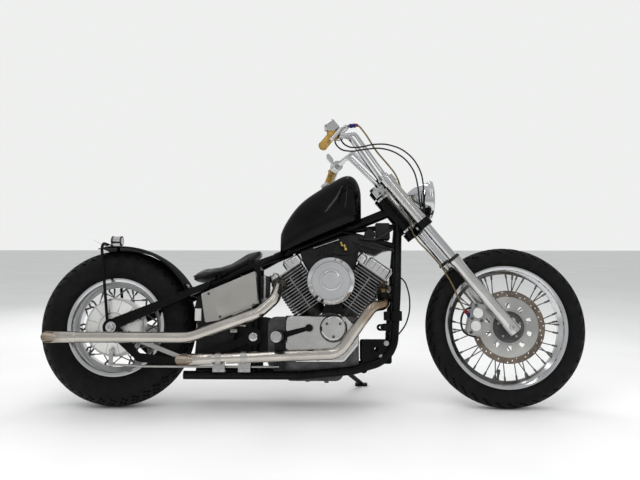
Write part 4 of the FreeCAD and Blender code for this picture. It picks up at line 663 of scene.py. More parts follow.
# CAD nodes whose finish is a variant of their record slot's
NODE_FINISHES = {
    "rear_cylinder": "rear_fins", "rear_head": "rear_fins", "front_cylinder": "front_fins",
    "front_head": "front_fins", "lower_exhaust": "lower_pipe_steel", "front_hub": "case_metal",
    "side_boxes": "brushed_plate", "rear_hub": "cast_silver", "brake_panel": "cast_silver",
    "final_drive": "cast_silver", "carburettor": "case_metal", "tail_lamp": "chrome",
    "fork_shrouds": "polished_alloy", "rear_fender": "fender_black",
    "lower_yoke": "frame_black",
}

# Fork and bars, in the fork's own frame
LEG_Y = 0.100
YOKE_LOW = 0.546
YOKE_HIGH = 0.776
LEG_TOP = 0.800
BAR_ROUTE = ((-0.013, 0.050, 0.793), (-0.013, 0.148, 1.018), (-0.084, 0.284, 1.040), (-0.163, 0.378, 1.004))
GRIP_RIBS = 20
GRIP_PITCH = 0.0051
LAMP_MOUNT = Vector((0.0668, 0, YOKE_LOW + 0.43 * (YOKE_HIGH - YOKE_LOW)))
LAMP_NOSE = BIKE.inverted() @ FORK @ LAMP_MOUNT + FORWARD * 0.059

# The brake hose's points, in millimetres, as they are in the solids' source
HOSE_ROUTE = ((954, -259, 1126), (985, -262, 1128), (1010, -240, 1138), (1045, -205, 1105),
              (1085, -165, 1050), (1132, -120, 1012), (1178, -84, 966), (1205, -62, 884),
              (1228, -60, 810), (1236, -60, 742), (1260, -62, 692), (1310, -66, 640), (1360, -70, 580),
              (1400, -72, 510), (1425, -76, 445), (1446, -84, 400), (1478, -78, 364))

# Exhaust: each pipe's last run, from its port to its first bend
UPPER_PORT = ((0.688, -0.052, 0.525), (0.672, -0.150, 0.440))
LOWER_PORT = ((1.112, -0.050, 0.509), (1.118, -0.122, 0.422))
FLANGE_OUT = 0.030
SLEEVE_BEYOND = 0.046
SLASH = 0.083
HANGER_XS = (0.455, 0.556)

# Seat: shares of its length with the heights of its top and base and its half width there
SEAT_REAR = 0.317
SEAT_FRONT = 0.594
SEAT_LOW = 0.524
SEAT_HIGH = 0.640
SEAT_HALF = 0.118
SEAT_TRIM = 0.005
SEAT_SHARES = ((0.00, 0.24, 0.04, 0.36), (0.025, 0.31, -0.01, 0.56), (0.08, 0.36, -0.02, 0.76),
               (0.16, 0.38, 0.00, 0.90), (0.30, 0.38, 0.08, 0.99), (0.45, 0.43, 0.18, 0.97),
               (0.60, 0.57, 0.31, 0.80), (0.75, 0.82, 0.47, 0.64), (0.88, 1.05, 0.66, 0.52),
               (0.97, 1.19, 0.86, 0.44), (1.01, 1.17, 0.95, 0.34))
BOX_PANEL = ((0.4125, 0.4780), (0.5885, 0.5535), (0.6000, 0.4255), (0.4475, 0.3590))

# Engine
COVER_LOW = 0.3232
FIN_HALF_LENGTH = 0.077
FIN_HALF_WIDTH = 0.070
FIN_CORNER = 0.018
ROCKER_HALF = 0.079
ROCKER_HEIGHT = 0.046
CLEANER = Vector((0.899, 0, 0.512))
COVER_BOLTS = ((0.745, 0.205), (0.848, 0.203), (0.945, 0.207), (0.990, 0.262), (0.994, 0.315), (0.952, 0.360),
               (0.850, 0.361), (0.731, 0.360), (0.730, 0.262))
COVER_SEAM = ((0.751, 0.190, 0.001, -0.002), (0.951, 0.190, 0.001, -0.002), (1.010, 0.260, 0.002, 0.0),
              (1.010, 0.322, 0.002, 0.0), (0.957, 0.374, 0.0, 0.002), (0.716, 0.374, -0.002, 0.002),
              (0.716, 0.241, -0.002, 0.0))


def arc_through(start, over, end, steps):
    """Points on the circle through three (across, out) points, ends included."""
    (ax, ay), (bx, by), (cx, cy) = start, over, end
    twice = 2 * (ax * (by - cy) + bx * (cy - ay) + cx * (ay - by))
    a, b, c = ax * ax + ay * ay, bx * bx + by * by, cx * cx + cy * cy
    ox = (a * (by - cy) + b * (cy - ay) + c * (ay - by)) / twice
    oy = (a * (cx - bx) + b * (ax - cx) + c * (bx - ax)) / twice
    radius = math.hypot(ax - ox, ay - oy)
    first = math.atan2(ay - oy, ax - ox)
    last = math.atan2(cy - oy, cx - ox)
    if abs(last - first) > math.pi:
        last += math.copysign(2 * math.pi, first - last)
    angles = [first + (last - first) * step / steps for step in range(steps + 1)]
    return [(ox + radius * math.cos(angle), oy + radius * math.sin(angle)) for angle in angles]


# Lamps: name, place, aim, power, width and, where it is a strip, its length
LAMPS = (
    ("key_light", (-0.6, -2.6, 3.4), (0.1, 0, 0.45), 62.0, 2.6, None),
    ("fill_light", (2.8, -2.2, 1.8), (0.3, 0, 0.5), 22.0, 1.8, None),
    ("top_light", (0.2, 0.8, 3.6), (0, 0, 0.4), 52.0, 3.0, None),
    ("back_light", (-2.4, 2.4, 2.2), (0, 0, 0.5), 24.0, 1.8, None),
    ("strip_left", (-0.7, -1.6, 3.0), (-0.3, 0, 0.4), 5.0, 0.16, 2.4),
    ("strip_right", (1.0, -2.0, 2.6), (0.7, 0, 0.4), 4.0, 0.14, 2.4),
    ("strip_behind", (0.3, 2.0, 2.8), (0.1, 0, 0.4), 4.0, 0.16, 2.4),
)
# What polished metal mirrors, by height: share of the way up and grey
MIRRORED = ((0.24, (0.40, 0.40, 0.40, 1)), (0.42, (0.95, 0.95, 0.96, 1)), (0.66, (0.22, 0.22, 0.23, 1)))
MIRRORED_LOW = (0.42, 0.42, 0.42, 1)
MIRRORED_HIGH = (0.62, 0.63, 0.65, 1)
SKY_TINT = (0.92, 0.95, 1.0, 1)
SKY_STRENGTH = 0.45
BACKDROP = (0.86, 0.87, 0.86, 1)
BACKDROP_SHARE = 0.5
PHOTO_EYE = Vector((0.90808, -2.66258, 0.41305))
PHOTO_TURN = math.radians(1.21)
PHOTO_LENS = 35.42
PHOTO_SHIFT = -0.01545


def surroundings(tree):
    """A plain backdrop for the camera, a soft sky for light, and graded greys for mirrored rays."""
    made = Nodes(tree)
    tree.nodes.clear()

    def shown(**values):
        return made.fill(made.node("ShaderNodeBackground"), **values).outputs[0]

    def mixed(*values):
        mix = made.node("ShaderNodeMixShader")
        for index, value in enumerate(values):
            made.link(value, mix.inputs[index])
        return mix.outputs[0]

    rays = made.node("ShaderNodeLightPath").outputs
    way = made.separated(made.node("ShaderNodeTexCoord").outputs["Generated"])
    greys = made.node("ShaderNodeValToRGB")
    made.fill(greys, Fac=made.span(way[2], -0.3, 1.0))
    greys.color_ramp.elements[0].color = MIRRORED_LOW
    greys.color_ramp.elements[1].color = MIRRORED_HIGH
    for share, grey in MIRRORED:
        greys.color_ramp.elements.new(share).color = grey
    mirrored = shown(Color=greys.outputs[0], Strength=made.span(way[1], -0.9, 0.5, 0.46, 0.95))
    through = made.math("MAXIMUM", rays["Is Glossy Ray"], rays["Is Transmission Ray"])
    lit = mixed(through, shown(Color=SKY_TINT, Strength=SKY_STRENGTH), mirrored)
    seen = made.math("MAXIMUM", rays["Is Camera Ray"], BACKDROP_SHARE)
    made.link(mixed(seen, lit, shown(Color=BACKDROP)), made.node("ShaderNodeOutputWorld").inputs[0])


def lamp(name, at, aim, power, width, length):
    bpy.ops.object.light_add(type="AREA", location=at)
    made = bpy.context.object
    made.name = name
    made.data.energy = power
    made.data.size = width
    if length:
        made.data.shape = "RECTANGLE"
        made.data.size_y = length
    else:
        made.visible_glossy = False
    made.rotation_euler = (Vector(aim) - Vector(at)).to_track_quat("-Z", "Y").to_euler()


class CHOPPER_OT_stage(bpy.types.Operator):
    """Floor, soft studio lights, the surroundings and the camera"""
    bl_idname = "chopper.stage"
    bl_label = "Stage"

    def execute(self, context):
        clear()
        bpy.ops.mesh.primitive_plane_add(size=40, location=(0, 0, 0))
        floor = context.object
        floor.name = "studio_floor"
        made = Finish("studio_floor", (0.80, 0.80, 0.79), roughness=0.55)
        made.mottle((0.78, 0.78, 0.77), (0.82, 0.82, 0.81), 1.2)
        made.worn(2.0, 0.45, 0.65)
        floor.data.materials.append(made.material)
        world = bpy.data.worlds.new("studio")
        context.scene.world = world
        world.use_nodes = True
        surroundings(world.node_tree)
        for row in LAMPS:
            lamp(*row)
        bpy.ops.object.camera_add(location=REAR_CENTRE + PHOTO_EYE, rotation=(math.pi / 2, 0, PHOTO_TURN))
        camera = context.object
        camera.name = "photo_camera"
        camera.data.lens = PHOTO_LENS
        camera.data.shift_y = PHOTO_SHIFT
        context.scene.camera = camera
        context.scene.view_settings.view_transform = "Standard"
        return {"FINISHED"}


class CHOPPER_OT_finishes(bpy.types.Operator):
    """Gives every CAD node the finish of its material slot"""
    bl_idname = "chopper.finishes"
    bl_label = "Finishes"

    def execute(self, context):
        slot_of = {part["node"]: part["material_slot"] for part in frame["record"]["subparts"]}
        for name, node in frame["nodes"].items():
            node.data.materials.clear()
            node.data.materials.append(finish(NODE_FINISHES.get(name, slot_of[name])))
        return {"FINISHED"}


class Wheel(NamedTuple):
    """Sizes of one wheel's tyre, rim, lacing and valve, in metres, radians and counts."""
    place: Matrix
    radius: float
    half_width: float
    crown: float
    shoulder: float
    widest: float
    flange: float
    bead_half: float
    seat: float
    steps: int
    turns: int
    groove_slant: float
    groove_run: int
    rim_half: float
    well: float
    depth: float
    hub_flanges: tuple
    valve_radius: float
    valve_turn: float


WHEELS = {
    "rear": Wheel(place=REAR_WHEEL, radius=0.326, half_width=0.085, crown=0.095, shoulder=math.radians(52),
                  widest=0.250, flange=0.204, bead_half=0.051, seat=0.1905, steps=16, turns=160,
                  groove_slant=1.4, groove_run=8, rim_half=0.055, well=0.030, depth=0.022,
                  hub_flanges=((-0.023, 0.115), (0.0525, 0.071)), valve_radius=0.1645,
                  valve_turn=math.radians(150)),
    "front": Wheel(place=FRONT_WHEEL, radius=0.332, half_width=0.050, crown=0.054, shoulder=math.radians(58),
                   widest=0.286, flange=0.2545, bead_half=0.029, seat=0.2413, steps=12, turns=156,
                   groove_slant=1.2, groove_run=6, rim_half=0.033, well=0.016, depth=0.017,
                   hub_flanges=((-0.035, 0.045), (0.035, 0.045)), valve_radius=0.2203,
                   valve_turn=math.radians(190)),
}
WALL_STEPS = 8
GROOVE_EVERY = 4
GROOVE_SHIFT = 2
TYRE_SMOOTH = 30.0


def tyre_profile(wheel):
    """Points (across, out) from bead to bead over a tyre, and the index at which its tread starts."""
    out = wheel.radius - wheel.crown + wheel.crown * math.cos(wheel.shoulder)
    edge = (wheel.crown * math.sin(wheel.shoulder), out)
    tread = arc_through((-edge[0], edge[1]), (0, wheel.radius), edge, wheel.steps)
    wall = arc_through(edge, (wheel.half_width, wheel.widest), (wheel.bead_half, wheel.flange), WALL_STEPS)
    other = [(-across, out) for across, out in reversed(wall)]
    return other[:-1] + tread + wall[1:], len(other) - 1


def in_groove(wheel, row, turn):
    """Whether a face of the tread lies in a slanted groove or in the broken one along the middle."""
    middle_row = wheel.steps / 2 - 0.5
    away = abs(row - middle_row)
    if away < 1:
        return row == int(middle_row) and turn % wheel.groove_run < wheel.groove_run - 1
    shift = GROOVE_SHIFT if row < middle_row else 0
    return (turn + int(away * wheel.groove_slant) + shift) % GROOVE_EVERY < 1


def tyre(name, wheel):
    """The section is spun round the axle, and its grooves are sunk face by face."""
    profile, first = tyre_profile(wheel)
    outline = profile + [(wheel.bead_half, wheel.seat), (-wheel.bead_half, wheel.seat)]
    made = hoop([(out, across) for across, out in outline], wheel.turns)
    bpy.ops.object.mode_set(mode="EDIT")
    step = math.tau / wheel.turns
    edges = profile[first:first + wheel.steps + 1]
    lowest = min(out for _, out in edges)

    def grooved(face):
        spot = face.calc_center_median()
        if math.hypot(spot.x, spot.z) < lowest:
            return False
        row = sum(1 for across, _ in edges if spot.y > across) - 1
        turn = int((math.atan2(spot.z, spot.x) % math.tau) / step)
        return 0 <= row < wheel.steps and in_groove(wheel, row, turn)

    pick("FACE", grooved)
    bpy.ops.mesh.extrude_region_shrink_fatten(TRANSFORM_OT_shrink_fatten={"value": -sizes().tread_depth})
    bpy.ops.object.mode_set(mode="OBJECT")
    settle(made, name + "_tyre_treaded", wheel.place, name + "_wheel", "tyre", TYRE_SMOOTH, (name + "_tyre",))


class CHOPPER_OT_tyres(bpy.types.Operator):
    """Both tyres, with grooved treads and bare walls"""
    bl_idname = "chopper.tyres"
    bl_label = "Tyres"

    def execute(self, context):
        for name, wheel in WHEELS.items():
            tyre(name, wheel)
        return {"FINISHED"}


def rod(start, end, radius, sides=12):
    """A straight round rod between two points."""
    start, end = Vector(start), Vector(end)
    return turned([(radius, 0), (radius, (end - start).length)], sides, start, end - start)


def around(made, count, axis="Y"):
    """The piece and its copies, turned in equal steps round an axis through the origin."""
    step = math.tau / count
    return [made] + [copied(made, Matrix.Rotation(step * index, 4, axis)) for index in range(1, count)]


def circle(centre, radius, angles):
    """Points on an upright circle that faces sideways, at angles from its top."""
    x, y, z = centre
    return [Vector((x + radius * math.sin(angle), y, z + radius * math.cos(angle))) for angle in angles]


def equal_angles(count):
    return [math.tau * index / count for index in range(count)]


def facing(way, points):
    """Places for spread(), all facing one way."""
    return [(Vector(point), way) for point in points]


def on_frame(pieces, name, slot, smooth=35.0, replaces=()):
    return settle(pieces, name, BIKE, "chassis", slot, smooth, replaces)


def on_fork(pieces, name, slot, smooth=35.0, replaces=()):
    return settle(pieces, name, FORK, "fork", slot, smooth, replaces)


def rim(name, wheel):
    """A rolled rim: bead seats, a sunk well between them and rounded flange edges."""
    lip = RIM_WALL / 4
    seat, half, flange = wheel.seat, wheel.rim_half, wheel.flange
    floor = seat - wheel.depth
    side = [(floor, wheel.well * RIM_FLOOR), (seat, wheel.well + RIM_WALL), (seat, half - RIM_WALL),
            (flange - lip, half - RIM_WALL), (flange, half - 3 * lip), (flange, half - lip),
            (flange - lip, half), (flange - 6 * lip, half), (flange - 9 * lip, half - lip),
            (seat - 2 * lip, half - 3 * lip), (seat - RIM_WALL, half - 7 * lip),
            (seat - RIM_WALL, wheel.well + 6 * lip), (floor - RIM_WALL, wheel.well * RIM_FLOOR)]
    made = hoop(side + [(out, -across) for out, across in reversed(side)])
    settle(made, name + "_rim", wheel.place, name + "_wheel", "rim_alloy", 40.0, (name + "_rim_spokes",))


def laced(name, wheel):
    """Crossed spokes with their nipples, drawn once for two neighbours on each flange."""
    step = math.tau / (2 * SPOKE_TURNS)
    seat = wheel.seat
    inner = seat - wheel.depth - RIM_WALL
    width = sizes().spoke_radius * NIPPLE_WIDTH
    wires, nipples = [], []
    for side, (hub_y, hub_radius) in enumerate(wheel.hub_flanges):
        for index, way in ((0, -1), (1, 1)):
            angle = (index + side / 2) * step
            start, = circle((0, hub_y + way * SPOKE_SHIFT, 0), hub_radius, [angle])
            end, = circle((0, math.copysign(wheel.well / 2, hub_y), 0), seat, [angle + way * SPOKE_SWEEP])
            foot = start.lerp(end, (inner - hub_radius) / (seat - hub_radius))
            wires += around(rod(start, foot, sizes().spoke_radius, 8), SPOKE_TURNS)
            rings = [(width, -width), (width, 3 * width), (width * NIPPLE_TAPER, 4 * width)]
            nipples += around(turned(rings, 8, foot, start - foot), SPOKE_TURNS)
    settle(wires, name + "_spokes", wheel.place, name + "_wheel", "steel_dark", 60.0)
    settle(nipples, name + "_nipples", wheel.place, name + "_wheel", "steel_dark")


NIPPLE_TAPER = 0.8
VALVE_RINGS = [(0.0062, -0.003), (0.0062, 0.006), (0.0050, 0.008), (0.0050, 0.022), (0.0066, 0.024),
               (0.0066, 0.040), (0.0050, 0.043)]


def valve(name, wheel):
    stem = turned(VALVE_RINGS, 16, (0, 0, wheel.valve_radius), -UP)
    place = wheel.place @ Matrix.Rotation(wheel.valve_turn, 4, "Y")
    settle(stem, name + "_valve", place, name + "_wheel", "steel_dark")


class CHOPPER_OT_wheels(bpy.types.Operator):
    """Rims, spokes, nipples and valve stems of both wheels"""
    bl_idname = "chopper.wheels"
    bl_label = "Wheels"

    def execute(self, context):
        for build in (rim, laced, valve):
            for name, wheel in WHEELS.items():
                build(name, wheel)
        return {"FINISHED"}


# Front brake, from the axle; a row of holes is its distance from the inner edge and its turn in steps
DISC_INNER, DISC_OUTER = 0.124, 0.149
DISC_LEFT, DISC_RIGHT = -0.056, -0.061
DISC_EDGE = 0.0006
DISC_ROWS = ((0.0060, 0.0), (0.0125, 0.33), (0.0190, 0.66))
DISC_SIDES = 120
CUT_BEYOND = 0.003
CARRIER_RINGS = [(0.0402, DISC_LEFT), (0.0402, DISC_RIGHT), (0.0700, DISC_RIGHT),
                 (0.0710, DISC_RIGHT - 0.0012), (0.1010, DISC_RIGHT - 0.0012), (0.1060, DISC_RIGHT),
                 (0.1200, DISC_RIGHT),
                 (0.1238, DISC_RIGHT + 0.0010), (0.1238, DISC_LEFT)]
WINDOW_LOW = (-0.0095, DISC_RIGHT - 0.004, 0.0770)
WINDOW_HIGH = (0.0095, DISC_LEFT + 0.004, 0.0975)
WINDOW_CORNER = 0.0035
HUB_FACE = (0, -0.068, 0)
HUB_RINGS = [(0.0180, 0), (0.0180, 0.0012), (0.0165, 0.0024)]
HUB_SCREWS = 5
HUB_SCREW_CIRCLE = 0.046
HUB_SCREW_RADIUS = 0.0052

# Caliper, in its own frame, but for the bleed hose
CALIPER_FACE = -0.092
PISTON_RINGS = [(0.0205, 0.0040), (0.0205, 0.0080), (0.0190, 0.0096), (0.0172, 0.0100)]
PISTON_HALF_PITCH = 0.0265
PISTON_HEIGHT = 0.1395
BLEED_ROUTE = [(1.488, -0.078, 0.412), (1.458, -0.074, 0.412), (1.434, -0.072, 0.378), (1.431, -0.072, 0.335),
               (1.447, -0.074, 0.300), (1.490, -0.078, 0.292)]
BLEED_RADIUS = 0.0042
CALIPER_SCREWS = ((-0.056, 0.152), (0.056, 0.152), (0.0, 0.158), (0.0, 0.119))
CALIPER_SCREW_RADIUS = 0.0062
CALIPER_SEAM = ((-0.0665, -0.0600, 0.112), (0.0665, -0.0588, 0.1685))


class CHOPPER_OT_brake(bpy.types.Operator):
    """Front brake: the drilled disc on its carrier, and what is fastened to the caliper"""
    bl_idname = "chopper.brake"
    bl_label = "Front brake"

    def execute(self, context):
        disc = hoop([(DISC_INNER, DISC_LEFT), (DISC_INNER, DISC_RIGHT), (DISC_OUTER - DISC_EDGE, DISC_RIGHT),
                     (DISC_OUTER, DISC_RIGHT + DISC_EDGE), (DISC_OUTER, DISC_LEFT - DISC_EDGE),
                     (DISC_OUTER - DISC_EDGE, DISC_LEFT)], DISC_SIDES)
        drills = []
        for row, share in DISC_ROWS:
            angle = share * math.tau / DISC_HOLES
            start, = circle((0, DISC_RIGHT - CUT_BEYOND, 0), DISC_INNER + row, [angle])
            end, = circle((0, DISC_LEFT + CUT_BEYOND, 0), DISC_INNER + row, [angle])
            drills += around(rod(start, end, sizes().disc_hole_radius, 10), DISC_HOLES)
        settle(cut_out(disc, drills), "front_disc_ring", FRONT_WHEEL, "front_wheel", "disc_bronze", 30.0,
               ("brake_disc",))
        carrier = hoop(CARRIER_RINGS, DISC_SIDES)
        windows = around(block(WINDOW_LOW, WINDOW_HIGH, WINDOW_CORNER), CARRIER_WINDOWS)
        settle(cut_out(carrier, windows), "front_disc_carrier", FRONT_WHEEL, "front_wheel", "satin_alloy",
               30.0, ("disc_carrier",))
        hub = turned(HUB_RINGS, 32, HUB_FACE, RIGHT)
        spots = facing(RIGHT, circle(HUB_FACE, HUB_SCREW_CIRCLE, equal_angles(HUB_SCREWS)))
        heads = screws(spots, HUB_SCREW_RADIUS)
        settle([hub, *heads], "front_hub_screws", FRONT_WHEEL, "front_wheel", "satin_alloy")
        pistons = [turned(PISTON_RINGS, 40, (side * PISTON_HALF_PITCH, CALIPER_FACE, PISTON_HEIGHT), RIGHT)
                   for side in SIDES]
        settle(pistons, "caliper_piston_caps", CALIPER, "fork", "cast_silver")
        settle(tube(BLEED_ROUTE, BLEED_RADIUS), "caliper_bleed_hose", BIKE, "fork", "cable_black")
        spots = facing(RIGHT, [(x, CALIPER_FACE, z) for x, z in CALIPER_SCREWS])
        settle(screws(spots, CALIPER_SCREW_RADIUS), "caliper_screws", CALIPER, "fork", "steel_dark")
        settle(block(*CALIPER_SEAM, 0.0004, 1), "caliper_joint", CALIPER, "fork", "steel_dark")
        return {"FINISHED"}


def plate(outline, near, far, bevel=0.0):
    """A flat piece cut to (x, z) corners, thick from one y to another."""
    clear()
    bpy.ops.mesh.primitive_circle_add(vertices=len(outline), radius=1, fill_type="NGON")
    made = bpy.context.object
    for vert, (x, z) in zip(made.data.vertices, outline):
        vert.co = (x, near, z)
    bpy.ops.object.mode_set(mode="EDIT")
    bpy.ops.mesh.select_all(action="SELECT")
    bpy.ops.mesh.extrude_region_move(TRANSFORM_OT_translate={"value": (0, far - near, 0)})
    bpy.ops.mesh.select_all(action="SELECT")
    bpy.ops.mesh.normals_make_consistent(inside=False)
    if bevel:
        bpy.ops.mesh.bevel(offset=bevel, segments=2, affect="EDGES")
    bpy.ops.object.mode_set(mode="OBJECT")
    return made


def collar(inner, outer, length, at, way, sides=40, edge=0.0008):
    """A ring with softened outer edges, from a point along an axis."""
    rings = [(inner, 0), (outer - edge, 0), (outer, edge), (outer, length - edge), (outer - edge, length),
             (inner, length)]
    return hoop(rings, sides, at, way)


def both_sides(made):
    """The piece and its twin on the other side of the machine."""
    return [made, outward(copied(made, Matrix.Scale(-1, 4, LEFT)))]


# Fork fittings: (radius, height) rings, and heights along the fork
SEAL_RINGS = [(0.0205, 0.353), (0.0290, 0.353), (0.0292, 0.359), (0.0255, 0.366), (0.0205, 0.366)]
LEG_CAP = [(0.0205, 0), (0.0205, 0.003), (0.0190, 0.0045)]
LEG_NUT = [(0.0125, 0.0045), (0.0125, 0.012), (0.0108, 0.0135)]
SHROUD_RING = (0.0265, 0.0285, 0.007)
SHROUD_RING_HEIGHTS = (YOKE_LOW + 0.024, (YOKE_LOW + YOKE_HIGH) / 2, YOKE_HIGH - 0.031)
YOKE_BOLT_X = -0.0325
AXLE_CLAMP_X = 0.0262
AXLE_CLAMP_HALF_PITCH = 0.016
FORK_BOLT_RADIUS = 0.0065
STEM_X = -0.055
STEM_NUT = [(0.0230, 0.017), (0.0230, 0.020), (0.0210, 0.021)]
STEM_DOME = [(0.0165, 0.021), (0.0165, 0.031), (0.0130, 0.034), (0, 0.036)]
AXLE_END_Y = 0.128
FRONT_AXLE_END = [(0.0130, 0), (0.0130, 0.0022), (0.0118, 0.0034), (0.0072, 0.0034), (0.0072, -0.004)]
NECK_CUP = (0.029, 0.034, 0.010)
NECK_CUP_HEIGHTS = (0.567, 0.740)


class CHOPPER_OT_fork(bpy.types.Operator):
    """Seals, caps, clamp bolts and axle ends of the fork"""
    bl_idname = "chopper.fork"
    bl_label = "Fork"

    def execute(self, context):
        seals, caps, spots, rings = [], [], [], []
        for side in SIDES:
            y = side * LEG_Y
            seals.append(hoop(SEAL_RINGS, 40, (0, y, 0), UP))
            caps.append(turned(LEG_CAP, 40, (0, y, LEG_TOP), UP))
            caps.append(turned(LEG_NUT, 6, (0, y, LEG_TOP), UP))
            rings += [collar(*SHROUD_RING, (0, y, height), UP) for height in SHROUD_RING_HEIGHTS]
            spots += facing(-FORWARD, [(YOKE_BOLT_X, y, height) for height in (YOKE_LOW, YOKE_HIGH)])
            spots += facing(FORWARD, [(AXLE_CLAMP_X, y, way * AXLE_CLAMP_HALF_PITCH) for way in SIDES])
        on_fork(seals, "fork_dust_seals", "cable_black")
        on_fork(caps, "fork_leg_caps", "chrome")
        on_fork(rings, "shroud_rings", "chrome")
        on_fork(bolts(spots, FORK_BOLT_RADIUS), "fork_clamp_bolts", "chrome")
        stem = (STEM_X, 0, YOKE_HIGH)
        on_fork([turned(STEM_NUT, 32, stem, UP), turned(STEM_DOME, 6, stem, UP)], "stem_nut", "chrome")
        ends = [turned(FRONT_AXLE_END, 32, (0, side * AXLE_END_Y, 0), (0, side, 0)) for side in SIDES]
        settle(ends, "front_axle_ends", FRONT_WHEEL, "fork", "polished_alloy")
        cups = [collar(*NECK_CUP, (STEM_X, 0, height), UP) for height in NECK_CUP_HEIGHTS]
        settle(cups, "neck_cups", FORK, "chassis", "chrome")
        return {"FINISHED"}


# Headlamp: (radius, height) rings in front of the shell's mouth
BEZEL_RINGS = [(0.0770, -0.016), (0.0825, -0.017), (0.0845, -0.013), (0.0845, -0.002), (0.0825, 0.002),
               (0.0785, 0.003), (0.0765, 0.001)]
DISH_RADIUS = 0.0765
DISH_FLOOR = -0.0052
DISH_RISE = 0.004
DISH_SHARES = (1.0, 0.94, 0.86, 0.76, 0.64, 0.5, 0.34, 0.22)
BULB_RINGS = [(0.0150, -0.0050), (0.0150, -0.0030), (0.0120, -0.0015), (0, -0.0010)]
LENS_RINGS = [(0.0, 0.0008), (0.0775, 0.0010), (0.0740, 0.0042), (0.0640, 0.0072), (0.0480, 0.0096),
              (0.0260, 0.0110), (0, 0.0116)]
LAMP_SCREW = Vector((-0.008, 0.0, -0.0845))
LAMP_SCREW_RADIUS = 0.004


class CHOPPER_OT_headlamp(bpy.types.Operator):
    """Bezel, reflector, bulb cover and fluted lens of the headlamp"""
    bl_idname = "chopper.headlamp"
    bl_label = "Headlamp"

    def execute(self, context):
        bezel = hoop(BEZEL_RINGS, 96, LAMP_NOSE, FORWARD)
        settle(bezel, "headlamp_bezel", BIKE, "fork", "chrome")
        dish = [(DISH_RADIUS * share, DISH_FLOOR + DISH_RISE * share ** 2) for share in DISH_SHARES]
        reflector = turned(dish + BULB_RINGS, 72, LAMP_NOSE, FORWARD)
        settle(reflector, "headlamp_reflector", BIKE, "fork", "chrome")
        lens = turned(LENS_RINGS, 72, LAMP_NOSE, FORWARD)
        settle(lens, "headlamp_glass", BIKE, "fork", "lens_glass", 50.0, ("headlamp_lens",))
        screw = screws(facing(-UP, [LAMP_NOSE + LAMP_SCREW]), LAMP_SCREW_RADIUS)
        settle(screw, "headlamp_screw", BIKE, "fork", "steel_dark")
        return {"FINISHED"}


def bar_point(side, run, distance):
    """A place that far back along one run of the bar, and the way to the run's outer end."""
    start, end = BAR_ROUTE[run], BAR_ROUTE[run + 1]
    start, end = (Vector((at[0], side * at[1], at[2])) for at in (start, end))
    way = (end - start).normalized()
    return end - way * distance, way


# Controls: rings of the grips, clamps round the bar, lever ends, the reservoir's cap and the mirror
GRIP_START = [(0.0112, 0), (0.0215, 0), (0.0215, 0.004), (0.0162, 0.006)]
GRIP_END = [(0.0178, 0.1110), (0.0178, 0.1150), (0.0140, 0.1166), (0, 0.1168)]
GRIP_RIBS_START = 0.008
GRIP_RIB = ((0.0170, 0.0007), (0.0172, GRIP_PITCH * 0.55), (0.0161, GRIP_PITCH * 0.75))
GRIP_LENGTH = 0.112
CLAMP_START = 0.054
CLAMP_RING = (0.0235, 0.0252, 0.0036)
CLAMP_RING_STEPS = (0.0012, 0.0182, 0.0352)
CLAMP_BOLT = Vector((0.024, 0, 0.004))
CLAMP_BOLT_STEPS = (0.010, 0.030)
CLAMP_BOLT_RADIUS = 0.0045
CLAMP_MIDDLE = 0.034
LEVER_REACH = Vector((0.044, 0, 0))
LEVER_TIP_BEYOND = 0.004
LEVER_BALL = [(0, -0.008), (0.0050, -0.0065), (0.0082, 0), (0.0050, 0.0065), (0, 0.008)]
LEVER_PIVOT = [(0.0100, -0.008), (0.0110, -0.006), (0.0110, 0.006), (0.0100, 0.008)]
RESERVOIR_TOP = Vector((0, 0, 0.030 + 0.017))
RESERVOIR_CAP = ((-0.024, -0.032, 0.0005), (0.024, 0.032, 0.0060))
RESERVOIR_LIP = ((-0.0225, -0.0305, -0.004), (0.0225, 0.0305, -0.0015))
RESERVOIR_SCREWS = [Vector((x, y, 0.0058)) for x in (-0.017, 0.017) for y in (-0.025, 0.025)]
RESERVOIR_SCREW_RADIUS = 0.0030
LEVEL_GLASS = [(0.0085, 0), (0.0085, 0.0016), (0.0068, 0.0024), (0, 0.0030)]
LEVEL_GLASS_AT = Vector((-0.0222, -0.004, 0.030))
MIRROR_AT = Vector((-0.0062, 0, 0.050))
MIRROR_GLASS = ((-0.0012, -0.0275, -0.0175), (0.0006, 0.0275, 0.0175))
MIRROR_BACK = ((0.0115, -0.0255, -0.0155), (0.0145, 0.0255, 0.0155))


def block_at(at, corners, bevel, segments):
    low, high = (at + Vector(corner) for corner in corners)
    return block(low, high, bevel, segments)


